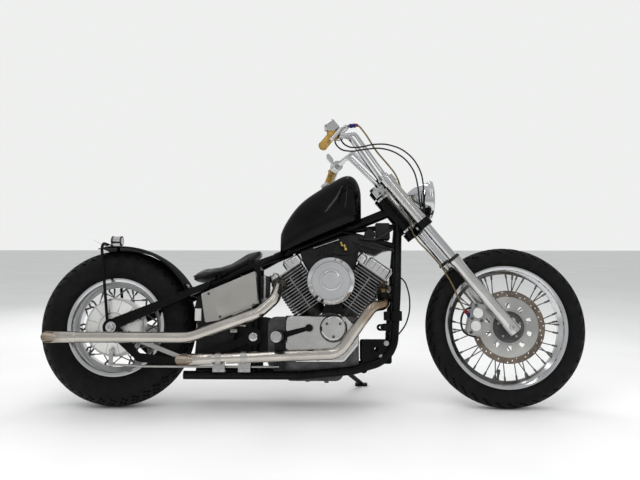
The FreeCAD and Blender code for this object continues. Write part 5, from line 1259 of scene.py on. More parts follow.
class CHOPPER_OT_controls(bpy.types.Operator):
    """Ribbed grips, clamps, reservoir cap, lever ends and mirror"""
    bl_idname = "chopper.controls"
    bl_label = "Controls"

    def execute(self, context):
        ribs = []
        for index in range(GRIP_RIBS):
            low = GRIP_RIBS_START + index * GRIP_PITCH
            ribs += [(radius, low + height) for radius, height in GRIP_RIB]
        grips, rings, clamps, levers = [], [], [], []
        for side in SIDES:
            grips.append(turned(GRIP_START + ribs + GRIP_END, 28, *bar_point(side, 2, GRIP_LENGTH)))
            at, way = bar_point(side, 1, CLAMP_START)
            rings += [collar(*CLAMP_RING, at + way * distance, way) for distance in CLAMP_RING_STEPS]
            spots = [at + way * distance + CLAMP_BOLT for distance in CLAMP_BOLT_STEPS]
            clamps += bolts(facing(FORWARD, spots), CLAMP_BOLT_RADIUS)
            tip = bar_point(side, 2, -LEVER_TIP_BEYOND)[0] + LEVER_REACH
            bend = bar_point(side, 2, GRIP_LENGTH)[0] + LEVER_REACH
            pivot = bar_point(side, 1, CLAMP_MIDDLE)[0] + LEVER_REACH
            levers.append(turned(LEVER_BALL, 20, tip, tip - bend))
            levers.append(turned(LEVER_PIVOT, 20, pivot, FORWARD.cross(way)))
        on_fork(grips, "bar_grips", "grip_amber", 40.0, ("grips",))
        on_fork(rings, "control_rings", "chrome")
        on_fork(clamps, "control_bolts", "steel_dark")
        on_fork(levers, "lever_ends", "chrome")
        right, left = (bar_point(side, 1, CLAMP_MIDDLE)[0] for side in SIDES)
        top = right + RESERVOIR_TOP
        cap = [block_at(top, RESERVOIR_CAP, 0.0018, 2), block_at(top, RESERVOIR_LIP, 0.0006, 1)]
        on_fork(cap, "reservoir_cap", "polished_alloy")
        heads = screws(facing(UP, [top + spot for spot in RESERVOIR_SCREWS]), RESERVOIR_SCREW_RADIUS)
        glass = turned(LEVEL_GLASS, 24, right + LEVEL_GLASS_AT, -FORWARD)
        on_fork([*heads, glass], "reservoir_screws", "steel_dark")
        face = left + MIRROR_AT
        on_fork(block_at(face, MIRROR_GLASS, 0.0005, 1), "mirror_glass", "chrome")
        on_fork(block_at(face, MIRROR_BACK, 0.0014, 2), "mirror_back", "tank_black")
        return {"FINISHED"}


def hose_fittings(fittings):
    """Coloured hexagon nuts on a hose, each followed by a short sleeve."""
    made = []
    for start, end, distance, length in fittings:
        low, way = between(start, end, distance)
        nut = [(0.0085, 0), (0.0092, 0.0012), (0.0092, length - 0.0012), (0.0085, length)]
        sleeve = [(0.0068, -0.004), (0.0068, length + 0.010), (0.0056, length + 0.012)]
        made += [turned(nut, 6, low, way), turned(sleeve, 20, low, way)]
    return made


class CHOPPER_OT_lines(bpy.types.Operator):
    """Coloured fittings at both ends of the brake hose"""
    bl_idname = "chopper.lines"
    bl_label = "Line fittings"

    def execute(self, context):
        route = [Vector(point) / 1000 for point in HOSE_ROUTE]
        first, second, third = route[:3]
        last = route[-2:]
        red = hose_fittings(((second, third, 0.004, 0.012), (*last, 0.004, 0.010)))
        settle(red, "hose_nuts_red", BIKE, "fork", "anodised_red")
        blue = hose_fittings(((first, second, 0.020, 0.012), (*last, 0.020, 0.014)))
        settle(blue, "hose_nuts_blue", BIKE, "fork", "anodised_blue")
        return {"FINISHED"}


# Rocker covers: each step's start and end as shares of the cover's half length, and its height share
ROCKER_SPANS = {
    "rear": ((-0.98, -0.38, 0.40), (0.05, 1.08, 0.78)),
    "front": ((-1.17, -0.66, 0.80), (-0.61, 0.84, 1.0)),
}
ROCKER_MARGIN = 0.015
ROCKER_SHORT = 0.020
ROCKER_BOLT_Y = 0.046
ROCKER_BOLT_SUNK = 0.0004
ROCKER_BOLT_RADIUS = 0.0058
SEAM_PITCH = 0.014
SEAM_HALF = 0.0007
SEAM_OUTER, SEAM_INNER = -0.0624, -0.0608
SEAM_BOTTOM, SEAM_TOP = 0.006, 0.008
BASE_NUTS = [(x, y, 0.1215) for x in (-0.056, 0.056) for y in (-0.056, 0.056)]
BASE_NUT_RADIUS = 0.0068
PLUG_RINGS = [(0.0105, 0), (0.0105, 0.012), (0.0060, 0.014), (0.0055, 0.026), (0.0085, 0.028),
              (0.0085, 0.058), (0.0060, 0.062)]
PLUG_AT = (0.02, 0.052, 0.306)
PLUG_WAY = (0.25, 1.0, 0.35)


class CHOPPER_OT_heads(bpy.types.Operator):
    """Rocker cover bolts and seams, plugs and base nuts of both cylinders"""
    bl_idname = "chopper.heads"
    bl_label = "Cylinder heads"

    def execute(self, context):
        for name, place in (("rear", REAR_CYLINDER), ("front", FRONT_CYLINDER)):
            spots, seams = [], []
            for start, end, share in ROCKER_SPANS[name]:
                half = (end - start) * ROCKER_HALF / 2
                centre = (start + end) * ROCKER_HALF / 2
                top = COVER_LOW + share * ROCKER_HEIGHT
                first, last = centre - half + ROCKER_MARGIN, centre + half - ROCKER_MARGIN
                xs = (first, last) if half > ROCKER_SHORT else (centre,)
                height = top - ROCKER_BOLT_SUNK
                spots += facing(UP, [(x, side * ROCKER_BOLT_Y, height) for x in xs for side in SIDES])
                count = max(1, int(half / SEAM_PITCH))
                for index in range(count):
                    x = first + index * (last - first) / count
                    seams += both_sides(block((x - SEAM_HALF, SEAM_OUTER, COVER_LOW + SEAM_BOTTOM),
                                              (x + SEAM_HALF, SEAM_INNER, top - SEAM_TOP), 0.0002, 1))
            settle(bolts(spots, ROCKER_BOLT_RADIUS), name + "_rocker_bolts", place, "chassis", "chrome")
            settle(seams, name + "_rocker_seams", place, "chassis", "steel_dark")
            nuts = bolts(facing(UP, BASE_NUTS), BASE_NUT_RADIUS)
            settle(nuts, name + "_base_nuts", place, "chassis", "steel_dark")
            settle(turned(PLUG_RINGS, 16, PLUG_AT, PLUG_WAY), name + "_plug", place, "chassis", "cable_black")
        return {"FINISHED"}


# Air cleaner: raised rings on its face, and the centre disc
CLEANER_FACE = (CLEANER.x, -0.190, CLEANER.z)
CLEANER_TRIM = (
    [(0.0765, -0.001), (0.0800, 0.0012), (0.0790, 0.0026), (0.0760, 0.0026), (0.0748, 0.0012)],
    [(0.0455, -0.001), (0.0478, 0.0010), (0.0470, 0.0018), (0.0455, 0.0018)],
    [(0.0935, -0.040), (0.0950, -0.038), (0.0950, -0.034), (0.0935, -0.032)],
)
CLEANER_DISC = [(0.0390, 0.006), (0.0390, 0.0070), (0.0375, 0.0078), (0.0290, 0.0078), (0.0280, 0.0070),
                (0, 0.0066)]
CLEANER_BOLTS = ((CLEANER.x, -0.170, CLEANER.z), 0.0905, (math.radians(173), math.radians(205)))
CLEANER_BOLT_RADIUS = 0.0052
CLEANER_BACK = (0.060, 0.0925, 0.005, (CLEANER.x, -0.112, CLEANER.z), -RIGHT, 72)


class CHOPPER_OT_cleaner(bpy.types.Operator):
    """Rim, centre disc and bolts of the air cleaner"""
    bl_idname = "chopper.cleaner"
    bl_label = "Air cleaner"

    def execute(self, context):
        trim = [hoop(rings, 96, CLEANER_FACE, RIGHT) for rings in CLEANER_TRIM]
        disc = turned(CLEANER_DISC, 72, CLEANER_FACE, RIGHT)
        on_frame([*trim, disc], "air_cleaner_trim", "chrome")
        spots = facing(RIGHT, circle(*CLEANER_BOLTS))
        on_frame(bolts(spots, CLEANER_BOLT_RADIUS, False), "air_cleaner_bolts", "steel_dark")
        on_frame(collar(*CLEANER_BACK), "air_cleaner_backplate", "case_metal")
        return {"FINISHED"}


# Engine's side covers, on the right; the left ones mirror them
COVER_FACE_Y = -0.142
COVER_BOLT_RADIUS = 0.0056
COVER_SEAM_Y = (-0.0985, -0.0962)
DOME_CENTRE = Vector((0.909, COVER_FACE_Y, 0.324))
DOME_GASKET = [(0.0518, 0.0030), (0.0518, -0.0006), (0.0556, -0.0006), (0.0556, 0.0030)]
DOME_OUT = Vector((0, -0.0115, 0))
DOME_SCREW_CIRCLE = 0.052 * 0.62
DOME_SCREW_ANGLES = [math.radians(degrees) for degrees in (55, -55, 180)]
DOME_SCREW_RADIUS = 0.0064
SUMP_PLUGS = ((0.800, 0.02, 0.1131), (0.880, -0.03, 0.1131))
SUMP_PLUG_RADIUS = 0.0105


class CHOPPER_OT_covers(bpy.types.Operator):
    """Edge bolts, gaskets and dome screws of the engine's side covers, and the sump's plugs"""
    bl_idname = "chopper.covers"
    bl_label = "Engine covers"

    def execute(self, context):
        spots = facing(RIGHT, [(x, COVER_FACE_Y, z) for x, z in COVER_BOLTS])
        on_frame(both_sides(gathered(bolts(spots, COVER_BOLT_RADIUS))), "cover_bolts", "chrome")
        on_frame(both_sides(hoop(DOME_GASKET, 72, DOME_CENTRE, -RIGHT)), "dome_gaskets", "cable_black")
        spots = facing(RIGHT, circle(DOME_CENTRE + DOME_OUT, DOME_SCREW_CIRCLE, DOME_SCREW_ANGLES))
        on_frame(both_sides(gathered(bolts(spots, DOME_SCREW_RADIUS))), "dome_screws", "steel_dark")
        joint = plate([(x + grow_x, z + grow_z) for x, z, grow_x, grow_z in COVER_SEAM], *COVER_SEAM_Y)
        on_frame(both_sides(joint), "cover_gaskets", "cable_black")
        on_frame(bolts(facing(-UP, SUMP_PLUGS), SUMP_PLUG_RADIUS), "sump_plugs", "steel_dark")
        return {"FINISHED"}


def between(first, second, distance):
    """A place that far along the line from one point to another, and the line's direction."""
    first, second = Vector(first), Vector(second)
    way = (second - first).normalized()
    return first + way * distance, way


def placed(made, at, way):
    """The piece, shaped at the origin along +Z, put at a point along an axis."""
    made.matrix_world = Matrix.Translation(at) @ Vector(way).to_track_quat("Z", "Y").to_matrix().to_4x4()
    return made


# Exhaust fittings round the pipes, and the sleeves that end them, as (tip, height, rise, finish)
FLANGE_RING = (0.0215, 0.0330, 0.0065)
FLANGE_EAR = [(0.0095, 0), (0.0095, 0.0065)]
FLANGE_EAR_OUT = 0.0300
FLANGE_NUT_RADIUS = 0.0060
HEADER_CLAMP_AT = 0.070
HEADER_CLAMP = (0.0215, 0.0275, 0.028)
HEADER_LUG = ((-0.006, -0.010, 0.004), (0.006, 0.010, 0.024), 0.001)
HEADER_LUG_OUT = FORWARD * 0.031
LOWER_RUN = ((0.322, -0.168, 0.200), (0.930, -0.168, 0.226))
BAND = (0.0218, 0.0242, 0.022)
BAND_HALF = 0.011
HANGER_BOLT_Y, HANGER_BOLT_Z = -0.1586, 0.161
HANGER_BOLT_HALF_PITCH = 0.012
HANGER_BOLT_RADIUS = 0.0058
PIPE_ENDS = {
    "upper": (-0.226, 0.287, 0.0, "exhaust_steel"),
    "lower": (0.322, 0.200, 0.026 / 0.608, "lower_pipe_steel"),
}
PIPE_Y = -0.168
SLEEVE_RADIUS = 0.0234
SLEEVE_RINGS = [(0.0221, 0), (SLEEVE_RADIUS, 0), (SLEEVE_RADIUS, 0.155), (0.0226, 0.157), (0.0221, 0.157)]
WEDGE = ((-0.20, 0.0), (0.0, 0.0), (SLASH, -SLEEVE_RADIUS * 2), (SLASH + 0.02, -0.080), (-0.20, -0.080))
WEDGE_HALF = 0.05


class CHOPPER_OT_exhaust(bpy.types.Operator):
    """Port flanges with their nuts, pipe bands, hanger bolts and the slashed end sleeves"""
    bl_idname = "chopper.exhaust"
    bl_label = "Exhaust fittings"

    def execute(self, context):
        flanges, nuts, bands = [], [], []
        for port, knee in (UPPER_PORT, LOWER_PORT):
            at, way = between(port, knee, FLANGE_OUT)
            flanges.append(collar(*FLANGE_RING, at, way))
            across = way.cross(FORWARD).normalized()
            for side in SIDES:
                spot = at + across * side * FLANGE_EAR_OUT
                flanges.append(turned(FLANGE_EAR, 20, spot, way))
                nuts += bolts([(spot + way * FLANGE_EAR[-1][1], way)], FLANGE_NUT_RADIUS)
        on_frame(flanges, "exhaust_flanges", "steel_dark")
        on_frame(nuts, "exhaust_nuts", "steel_dark")
        at, way = between(*LOWER_PORT, HEADER_CLAMP_AT)
        ring = collar(*HEADER_CLAMP, at, way)
        on_frame([ring, placed(block(*HEADER_LUG), at + HEADER_LUG_OUT, way)], "header_clamp", "frame_black")
        for x in HANGER_XS:
            at, way = between(*LOWER_RUN, x - LOWER_RUN[0][0] - BAND_HALF)
            bands.append(collar(*BAND, at, way, 56))
            spots = [(x + side * HANGER_BOLT_HALF_PITCH, HANGER_BOLT_Y, HANGER_BOLT_Z) for side in SIDES]
            nuts = bolts(facing(RIGHT, spots), HANGER_BOLT_RADIUS)
            on_frame(nuts, "hanger_bolts_%d" % round(x * 1000), "chrome")
        on_frame(bands, "exhaust_bands", "satin_alloy")
        for name, (tip, height, rise, slot) in PIPE_ENDS.items():
            at = Vector((tip - SLEEVE_BEYOND, PIPE_Y, height - SLEEVE_BEYOND * rise))
            sleeve = hoop(SLEEVE_RINGS, 64, at, Vector((1, 0, rise)).normalized())
            wedge = plate(WEDGE, -WEDGE_HALF, WEDGE_HALF)
            wedge.matrix_world = (Matrix.Translation(at + LEFT * SLEEVE_RADIUS)
                                  @ Matrix.Rotation(-math.pi / 2, 4, "X"))
            only(wedge)
            bpy.ops.object.transform_apply(location=True, rotation=True)
            on_frame(cut_out(sleeve, [wedge]), name + "_exhaust_end", slot)
        return {"FINISHED"}


def lofted(stations, sides, corner):
    """A closed form through (x, z, half width, half height) stations, with softly squared sections."""
    clear()
    x, z, half_width, half_height = stations[0]
    bpy.ops.mesh.primitive_circle_add(vertices=sides, radius=1, fill_type="NGON")
    made = bpy.context.object
    for vert in made.data.vertices:
        across, up = vert.co.x, vert.co.y
        vert.co = (x, math.copysign(abs(across) ** corner, across) * half_width,
                   z + math.copysign(abs(up) ** corner, up) * half_height)
    bpy.ops.object.mode_set(mode="EDIT")
    bpy.ops.mesh.select_all(action="SELECT")
    for new_x, new_z, new_width, new_height in stations[1:]:
        bpy.ops.mesh.extrude_region_move(TRANSFORM_OT_translate={"value": (new_x - x, 0, new_z - z)})
        bpy.ops.transform.resize(value=(1, new_width / half_width, new_height / half_height),
                                 center_override=(new_x, 0, new_z))
        x, z, half_width, half_height = new_x, new_z, new_width, new_height
    bpy.ops.object.mode_set(mode="OBJECT")
    return outward(made)


# Seat cushion: its squareness, remeshed size, pressure, greatest swelling and simulated frames
SEAT_CORNER = 0.72
PAD_VOXEL = 0.005
PAD_PRESSURE = 4.0
PAD_SWELL = 0.008
PAD_FRAMES = 20
PIPING_RADIUS = 0.0024
PAN_CORNER = 0.6
PAN_INSET = 0.004
PAN_HALF_HEIGHT = 0.0035


def inflated(pad, voxel, pressure, cap):
    """Swells a closed form like padded upholstery; no point moves further than the cap."""
    apply_modifier(pad, "REMESH", mode="VOXEL", voxel_size=voxel)
    apply_modifier(pad, "SMOOTH", factor=0.5, iterations=6)
    start = [vert.co.copy() for vert in pad.data.vertices]
    scene = bpy.context.scene
    cloth = pad.modifiers.new("padding", "CLOTH")
    cloth.settings.use_pressure = True
    cloth.settings.uniform_pressure_force = pressure
    cloth.settings.effector_weights.gravity = 0.0
    cloth.settings.quality = 6
    cloth.point_cache.frame_start = 1
    cloth.point_cache.frame_end = PAD_FRAMES
    for step in range(1, PAD_FRAMES + 1):
        scene.frame_set(step)
    bpy.ops.object.modifier_apply(modifier=cloth.name)
    for vert, place in zip(pad.data.vertices, start):
        moved = vert.co - place
        if moved.length > cap:
            vert.co = place + moved.normalized() * cap
    scene.frame_set(1)
    return pad


def seat_point(share, up):
    """A place on the seat's middle line, by shares of its length and its rise."""
    return SEAT_REAR + share * (SEAT_FRONT - SEAT_REAR), SEAT_LOW + up * (SEAT_HIGH - SEAT_LOW)


def seat_stations(trim):
    stations = []
    for share, top, base, width in SEAT_SHARES:
        x, low = seat_point(share, base)
        high = seat_point(share, top)[1]
        stations.append((x, (low + high) / 2, width * SEAT_HALF - trim, (high - low) / 2 - trim * 0.6))
    return stations


class CHOPPER_OT_seat(bpy.types.Operator):
    """The padded leather seat with its piping, on a thin black pan"""
    bl_idname = "chopper.seat"
    bl_label = "Seat"

    def execute(self, context):
        stations = seat_stations(SEAT_TRIM)
        pad = inflated(lofted(stations, 40, SEAT_CORNER), PAD_VOXEL, PAD_PRESSURE, PAD_SWELL)
        apply_modifier(pad, "SUBSURF", levels=1, render_levels=1)
        on_frame(pad, "seat_pad", "seat_leather", 80.0, ("seat",))
        loop = []
        for side in SIDES:
            run = [(x, side * (half + SEAT_TRIM * 0.7), z - 0.1 * height) for x, z, half, height in stations]
            loop += run if side < 0 else run[::-1]
        piping = tube(loop + loop[:1], PIPING_RADIUS, 10)
        on_frame(piping, "seat_piping", "seat_leather", 60.0)
        base = [(x, z - height * 0.95, half - PAN_INSET, PAN_HALF_HEIGHT) for x, z, half, height in stations]
        pan = lofted(base, 32, PAN_CORNER)
        on_frame(pan, "seat_pan", "battery_black", 50.0)
        return {"FINISHED"}


# Side boxes and battery
PANEL_Y = (-0.1322, -0.1336)
PANEL_BEVEL = 0.0007
BOX_SCREWS = ((0.4007, 0.4625), (0.5855, 0.4180), (0.4500, 0.3700))
BOX_SCREW_RADIUS = 0.0052
BATTERY_STRAP = ((0.536, -0.0680, 0.412), (0.560, 0.0680, 0.5425), 0.0015)
BATTERY_LID = ((0.4985, -0.0675, 0.5160), (0.6115, 0.0675, 0.5215), 0.0012)
POST_RINGS = [(0.0080, 0.540), (0.0080, 0.545), (0.0060, 0.546), (0.0060, 0.553), (0.0048, 0.5545)]
POST_X, POST_Y = 0.515, 0.045


class CHOPPER_OT_boxes(bpy.types.Operator):
    """The side boxes' panels with their screws, and the battery's lid, strap and posts"""
    bl_idname = "chopper.boxes"
    bl_label = "Boxes"

    def execute(self, context):
        panel = plate(BOX_PANEL, *PANEL_Y, PANEL_BEVEL)
        on_frame(both_sides(panel), "side_box_panels", "brushed_plate")
        spots = facing(RIGHT, [(x, PANEL_Y[0], z) for x, z in BOX_SCREWS])
        on_frame(both_sides(gathered(screws(spots, BOX_SCREW_RADIUS))), "side_box_screws", "steel_dark")
        on_frame([block(*BATTERY_STRAP), block(*BATTERY_LID)], "battery_strap", "cable_black")
        posts = [turned(POST_RINGS, 20, (POST_X, side * POST_Y, 0), UP) for side in SIDES]
        on_frame(posts, "battery_posts", "satin_alloy")
        return {"FINISHED"}


# Rear fender: its reach from the axle falls off towards its edges
FENDER_REACH = 0.344
FENDER_FALL = 0.009
FENDER_HALF = 0.089
BEAD_DEGREES = range(22, 105, 4)
BEAD_Y = 0.0885
BEAD_SUNK = 0.001
BEAD_RADIUS = 0.0028
FENDER_BOLT_DEGREES = (30.0, 98.0)
FENDER_BOLT_Y = 0.052
FENDER_BOLT_SPLAY = 0.8
FENDER_BOLT_RADIUS = 0.0060
TAIL_LAMP = Vector((-0.030, 0, 0.69718))
TAIL_BEZELS = ((0.0165, 0.0216, 0.008, TAIL_LAMP - FORWARD * 0.0225, FORWARD),
               (0.0165, 0.0213, 0.006, TAIL_LAMP + FORWARD * 0.0150, FORWARD))
TAIL_LENS = [(0.0190, -0.0200), (0.0190, -0.0225), (0.0160, -0.0255), (0.0100, -0.0272), (0, -0.0278)]


def fender_point(degrees, y, out=0.0):
    """A place on the rear fender, degrees up from straight ahead of the axle."""
    reach = FENDER_REACH - FENDER_FALL * (y / FENDER_HALF) ** 2 + out
    angle = math.radians(degrees)
    return Vector((reach * math.cos(angle), y, AXLE_HEIGHT + reach * math.sin(angle)))


class CHOPPER_OT_rear(bpy.types.Operator):
    """Fender beads and bolts, and the tail lamp's lens and bezels"""
    bl_idname = "chopper.rear"
    bl_label = "Rear end"

    def execute(self, context):
        beads = []
        for side in SIDES:
            line = [fender_point(degrees, side * BEAD_Y, -BEAD_SUNK) for degrees in BEAD_DEGREES]
            beads.append(tube(line, BEAD_RADIUS, 10))
        on_frame(beads, "fender_beads", "tank_black", 60.0)
        spots = []
        for degrees in FENDER_BOLT_DEGREES:
            for side in SIDES:
                at = fender_point(degrees, side * FENDER_BOLT_Y)
                spots.append((at, at - Vector((0, at.y * FENDER_BOLT_SPLAY, AXLE_HEIGHT))))
        on_frame(bolts(spots, FENDER_BOLT_RADIUS), "fender_bolts", "chrome")
        on_frame([collar(*ring) for ring in TAIL_BEZELS], "tail_lamp_bezel", "steel_dark")
        on_frame(turned(TAIL_LENS, 40, TAIL_LAMP, FORWARD), "tail_lamp_lens", "lamp_body")
        return {"FINISHED"}


# Rear axle, from its middle: brake panel on the right, drive case and shaft on the left
PANEL_RIBS = 12
PANEL_RIB = ((-0.0022, -0.0885, 0.064), (0.0022, -0.0700, 0.112), 0.0010, 1)
RIB_OUTER = 0.1
RIB_SLOPE = (0, 0.0115, 0)
PANEL_RINGS = ((0.0560, 0.0612, 0.0030, (0, -0.0875, 0), RIGHT, 64),
               (0.1110, 0.1176, 0.0040, (0, -0.0740, 0), RIGHT, 96))
CAM_NUT = (0, -0.094, -0.096)
CAM_NUT_RADIUS = 0.0065
REAR_AXLE_END = [(0.0125, 0), (0.0125, 0.0016), (0.0112, 0.0026), (0.0070, 0.0026), (0.0070, -0.003)]
AXLE_WASHER = (0.0150, 0.0215, 0.0026)
AXLE_WASHER_Y = 0.1140
CASE_FACE = (0, 0.0775, 0)
CASE_BOLTS = 8
CASE_BOLT_CIRCLE = 0.076
CASE_BOLT_RADIUS = 0.0055
FILLER_RINGS = [(0.0130, 0), (0.0130, 0.004), (0.0100, 0.006), (0.0100, 0.010), (0.0088, 0.011)]
FILLER_AT = (-0.048, 0.0820, 0.030)
SHAFT_START = Vector((0.030, 0.118, 0.322))
SHAFT_END = Vector((0.650, 0.118, 0.288))
BOOT_AT = 0.026
BOOT_BORE = 0.0206
BOOT_LENGTH = 0.044
BOOT_FOLDS = 5
BOOT_PITCH = 0.0075
BOOT_VALLEY = (0.0235, 0.002)
BOOT_CREST = (0.0292, 0.0055)
BOOT_TAPER = 0.0010


class CHOPPER_OT_axle(bpy.types.Operator):
    """Brake panel ribs, cam nut, axle ends, the final drive's bolts and filler, and the shaft's boot"""
    bl_idname = "chopper.axle"
    bl_label = "Rear axle"

    def execute(self, context):
        ribs = []
        for index in range(PANEL_RIBS):
            rib = block(*PANEL_RIB)
            bpy.ops.object.mode_set(mode="EDIT")
            pick("VERT", lambda vert: vert.co.z > RIB_OUTER)
            bpy.ops.transform.translate(value=RIB_SLOPE)
            bpy.ops.object.mode_set(mode="OBJECT")
            rib.matrix_world = Matrix.Rotation(math.tau * (index + 0.5) / PANEL_RIBS, 4, "Y")
            ribs.append(rib)
        rings = [collar(*ring) for ring in PANEL_RINGS]
        settle(ribs + rings, "brake_panel_ribs", REAR_WHEEL, "chassis", "polished_alloy")
        cam = bolts(facing(RIGHT, [CAM_NUT]), CAM_NUT_RADIUS)
        settle(cam, "brake_cam_nut", REAR_WHEEL, "chassis", "chrome")
        ends = []
        for side in SIDES:
            ends.append(turned(REAR_AXLE_END, 28, (0, side * AXLE_END_Y, 0), (0, side, 0)))
            ends.append(collar(*AXLE_WASHER, (0, side * AXLE_WASHER_Y, 0), (0, side, 0)))
        settle(ends, "rear_axle_ends", REAR_WHEEL, "chassis", "chrome")
        spots = facing(LEFT, circle(CASE_FACE, CASE_BOLT_CIRCLE, equal_angles(CASE_BOLTS)))
        settle(bolts(spots, CASE_BOLT_RADIUS), "drive_case_bolts", REAR_WHEEL, "chassis", "steel_dark")
        filler = turned(FILLER_RINGS, 8, FILLER_AT, LEFT)
        settle(filler, "drive_case_filler", REAR_WHEEL, "chassis", "steel_dark")
        folds = [(BOOT_BORE, 0)]
        for index in range(BOOT_FOLDS):
            low = index * BOOT_PITCH
            folds.append((BOOT_VALLEY[0], BOOT_VALLEY[1] + low))
            folds.append((BOOT_CREST[0] - index * BOOT_TAPER, BOOT_CREST[1] + low))
        folds.append((BOOT_BORE, BOOT_LENGTH))
        way = (SHAFT_END - SHAFT_START).normalized()
        boot = hoop([(out, -along) for out, along in reversed(folds)], 36, SHAFT_END - way * BOOT_AT, way)
        on_frame(boot, "shaft_boot", "cable_black")
        return {"FINISHED"}


# Foot controls: first and last ring of a rubber, its first rib's height, their pitch and count, and one rib
PEG = (0.690, -0.160, 0.292)
PEG_RUBBER = ((0.0195, 0.004), (0.0195, 0.106), 0.006, 0.0096, 10,
              ((0.0222, 0), (0.0222, 0.0058), (0.0198, 0.0070), (0.0198, 0.0092)))
PEG_RING = [(0.0150, 0.106), (0.0205, 0.106), (0.0218, 0.1085), (0.0205, 0.1110), (0.0165, 0.1115)]
PEG_END = [(0.0158, 0.1080), (0.0158, 0.1095), (0.0120, 0.1102), (0, 0.1104)]
PEDAL = (0.812, -0.160, 0.326)
PEDAL_RUBBER = ((0.0128, 0), (0.0128, 0.038), 0.002, 0.0090, 4,
                ((0.0148, 0), (0.0148, 0.0050), (0.0130, 0.0062), (0.0130, 0.0086)))


def ribbed(first, last, low, pitch, count, rib):
    """Rings of a rubber that repeats one rib."""
    rings = [(radius, low + index * pitch + height) for index in range(count) for radius, height in rib]
    return [first, *rings, last]


class CHOPPER_OT_feet(bpy.types.Operator):
    """Ribbed rubbers of the pegs and pedals, and the pegs' rings and ends"""
    bl_idname = "chopper.feet"
    bl_label = "Foot controls"

    def execute(self, context):
        on_frame(both_sides(hoop(ribbed(*PEG_RUBBER), 36, PEG, RIGHT)), "peg_rubbers", "peg_rubber")
        on_frame(both_sides(hoop(PEG_RING, 40, PEG, RIGHT)), "peg_rings", "chrome")
        on_frame(both_sides(turned(PEG_END, 32, PEG, RIGHT)), "peg_ends", "satin_alloy")
        on_frame(both_sides(hoop(ribbed(*PEDAL_RUBBER), 28, PEDAL, RIGHT)), "pedal_rubbers", "peg_rubber")
        return {"FINISHED"}


# Frame trim: what a table gives is what plate(), block(), rod(), tube(), collar() or turned() takes
DOWNTUBE_LOW = (1.148, 0.205)
DOWNTUBE_HIGH = (1.166, 0.470)
DOWNTUBE_Y = 0.118
TIE = (0.0166, 0.0192, 0.005)
TIE_HEIGHTS = (0.300, 0.365, 0.455)
CLAMP_BAND = (0.0166, 0.0265, 0.040)
CLAMP_LOW, CLAMP_MID = 0.355, 0.375
CLAMP_BLOCK = ((1.112, -0.128, 0.357), (1.140, -0.108, 0.393), 0.004)
GUSSET_BOLTS = ((1.121, -0.1222, 0.266), (1.101, -0.1222, 0.212))
GUSSET_BOLT_RADIUS = 0.0068
ELECTRICS = (((0.766, 0.645), (0.930, 0.712), (1.000, 0.722), (1.165, 0.684), (1.165, 0.662),
              (1.120, 0.652), (1.088, 0.633), (1.060, 0.640), (1.030, 0.642), (1.018, 0.655),
              (1.008, 0.606), (0.998, 0.566), (0.802, 0.562), (0.778, 0.604)), -0.042, 0.042, 0.006)
ELECTRICS_RIBS = (0.846, 0.864, 0.882, 0.900)
RELAY = ((1.088, -0.034, 0.700), (1.150, 0.034, 0.772), 0.006)
HORN = ([(0.0220, 0), (0.0230, 0.004), (0.0230, 0.012), (0.0190, 0.015), (0.0090, 0.0155), (0.0080, 0.013)],
        40, (1.062, -0.038, 0.718), RIGHT)
BRACE = ((0.949, -0.014, 0.735), (1.177, -0.048, 0.667), 0.0105, 20)
LOOM = (
    ([(1.020, -0.046, 0.704), (1.075, -0.052, 0.690), (1.120, -0.056, 0.712), (1.160, -0.050, 0.742)],
     0.0048),
    ([(0.990, -0.045, 0.690), (1.050, -0.054, 0.664), (1.110, -0.058, 0.655), (1.165, -0.062, 0.648)],
     0.0040),
    ([(0.905, -0.044, 0.640), (0.960, -0.050, 0.628), (1.000, -0.052, 0.650), (1.040, -0.046, 0.690)],
     0.0034),
)
ELECTRICS_RODS = (
    ((0.824, -0.050, 0.660), (0.932, -0.050, 0.697), 0.0028),
    ((0.828, -0.036, 0.6614), (0.828, -0.0515, 0.6614), 0.0034),
    ((0.928, -0.036, 0.6957), (0.928, -0.0515, 0.6957), 0.0034),
)
TAP_WAY = (0.3, 0, -1)
TAP_BODIES = (
    ([(0.0040, 0), (0.0052, 0.002), (0.0052, 0.018), (0.0040, 0.020)], 16, (0.940, -0.052, 0.687), TAP_WAY),
    ([(0.0042, 0), (0.0054, 0.002), (0.0054, 0.014), (0.0076, 0.017), (0.0084, 0.026), (0.0060, 0.029)],
     20, (0.954, -0.052, 0.676), TAP_WAY),
)
TAP_RODS = (
    ((0.944, -0.052, 0.675), (0.958, -0.052, 0.664), 0.0032),
    ((0.957, -0.036, 0.664), (0.957, -0.052, 0.664), 0.0040),
)
INTAKE_DECK = (((0.860, 0.385), (0.958, 0.385), (0.944, 0.424), (0.926, 0.452), (0.892, 0.452),
                (0.874, 0.424)), -0.056, 0.056, 0.002)
INTAKE_PIPES = (
    ((0.899, 0, 0.470), (0.790, 0, 0.445), 0.0240, 32),
    ((0.899, 0, 0.470), (1.008, 0, 0.445), 0.0240, 32),
)
MUD_PANEL = (((0.333, 0.405), (0.345, 0.456), (0.400, 0.472), (0.472, 0.362), (0.505, 0.300), (0.480, 0.206),
              (0.340, 0.206), (0.344, 0.262), (0.346, 0.310), (0.346, 0.340), (0.338, 0.356)),
             -0.0802, -0.0775, 0.0006)
MUD_WALL = ((0.348, -0.0780, 0.262), (0.352, 0.0780, 0.452), 0.0008, 1)
BLANK_PATCH = ((0.3365, -0.0812, 0.354), (0.3625, -0.0801, 0.404), 0.0004, 1)
COIL = ((0.604, -0.070, 0.448), (0.642, -0.026, 0.540), 0.005)
COIL_FINS = 6
COIL_FIN = ((0.603, -0.0715, 0.458), (0.643, -0.0245, 0.4635))
COIL_FIN_STEP = Vector((0, 0, 0.0125))
COIL_STRAP = ((0.6185, -0.0728, 0.444), (0.6265, -0.0235, 0.544), 0.001)
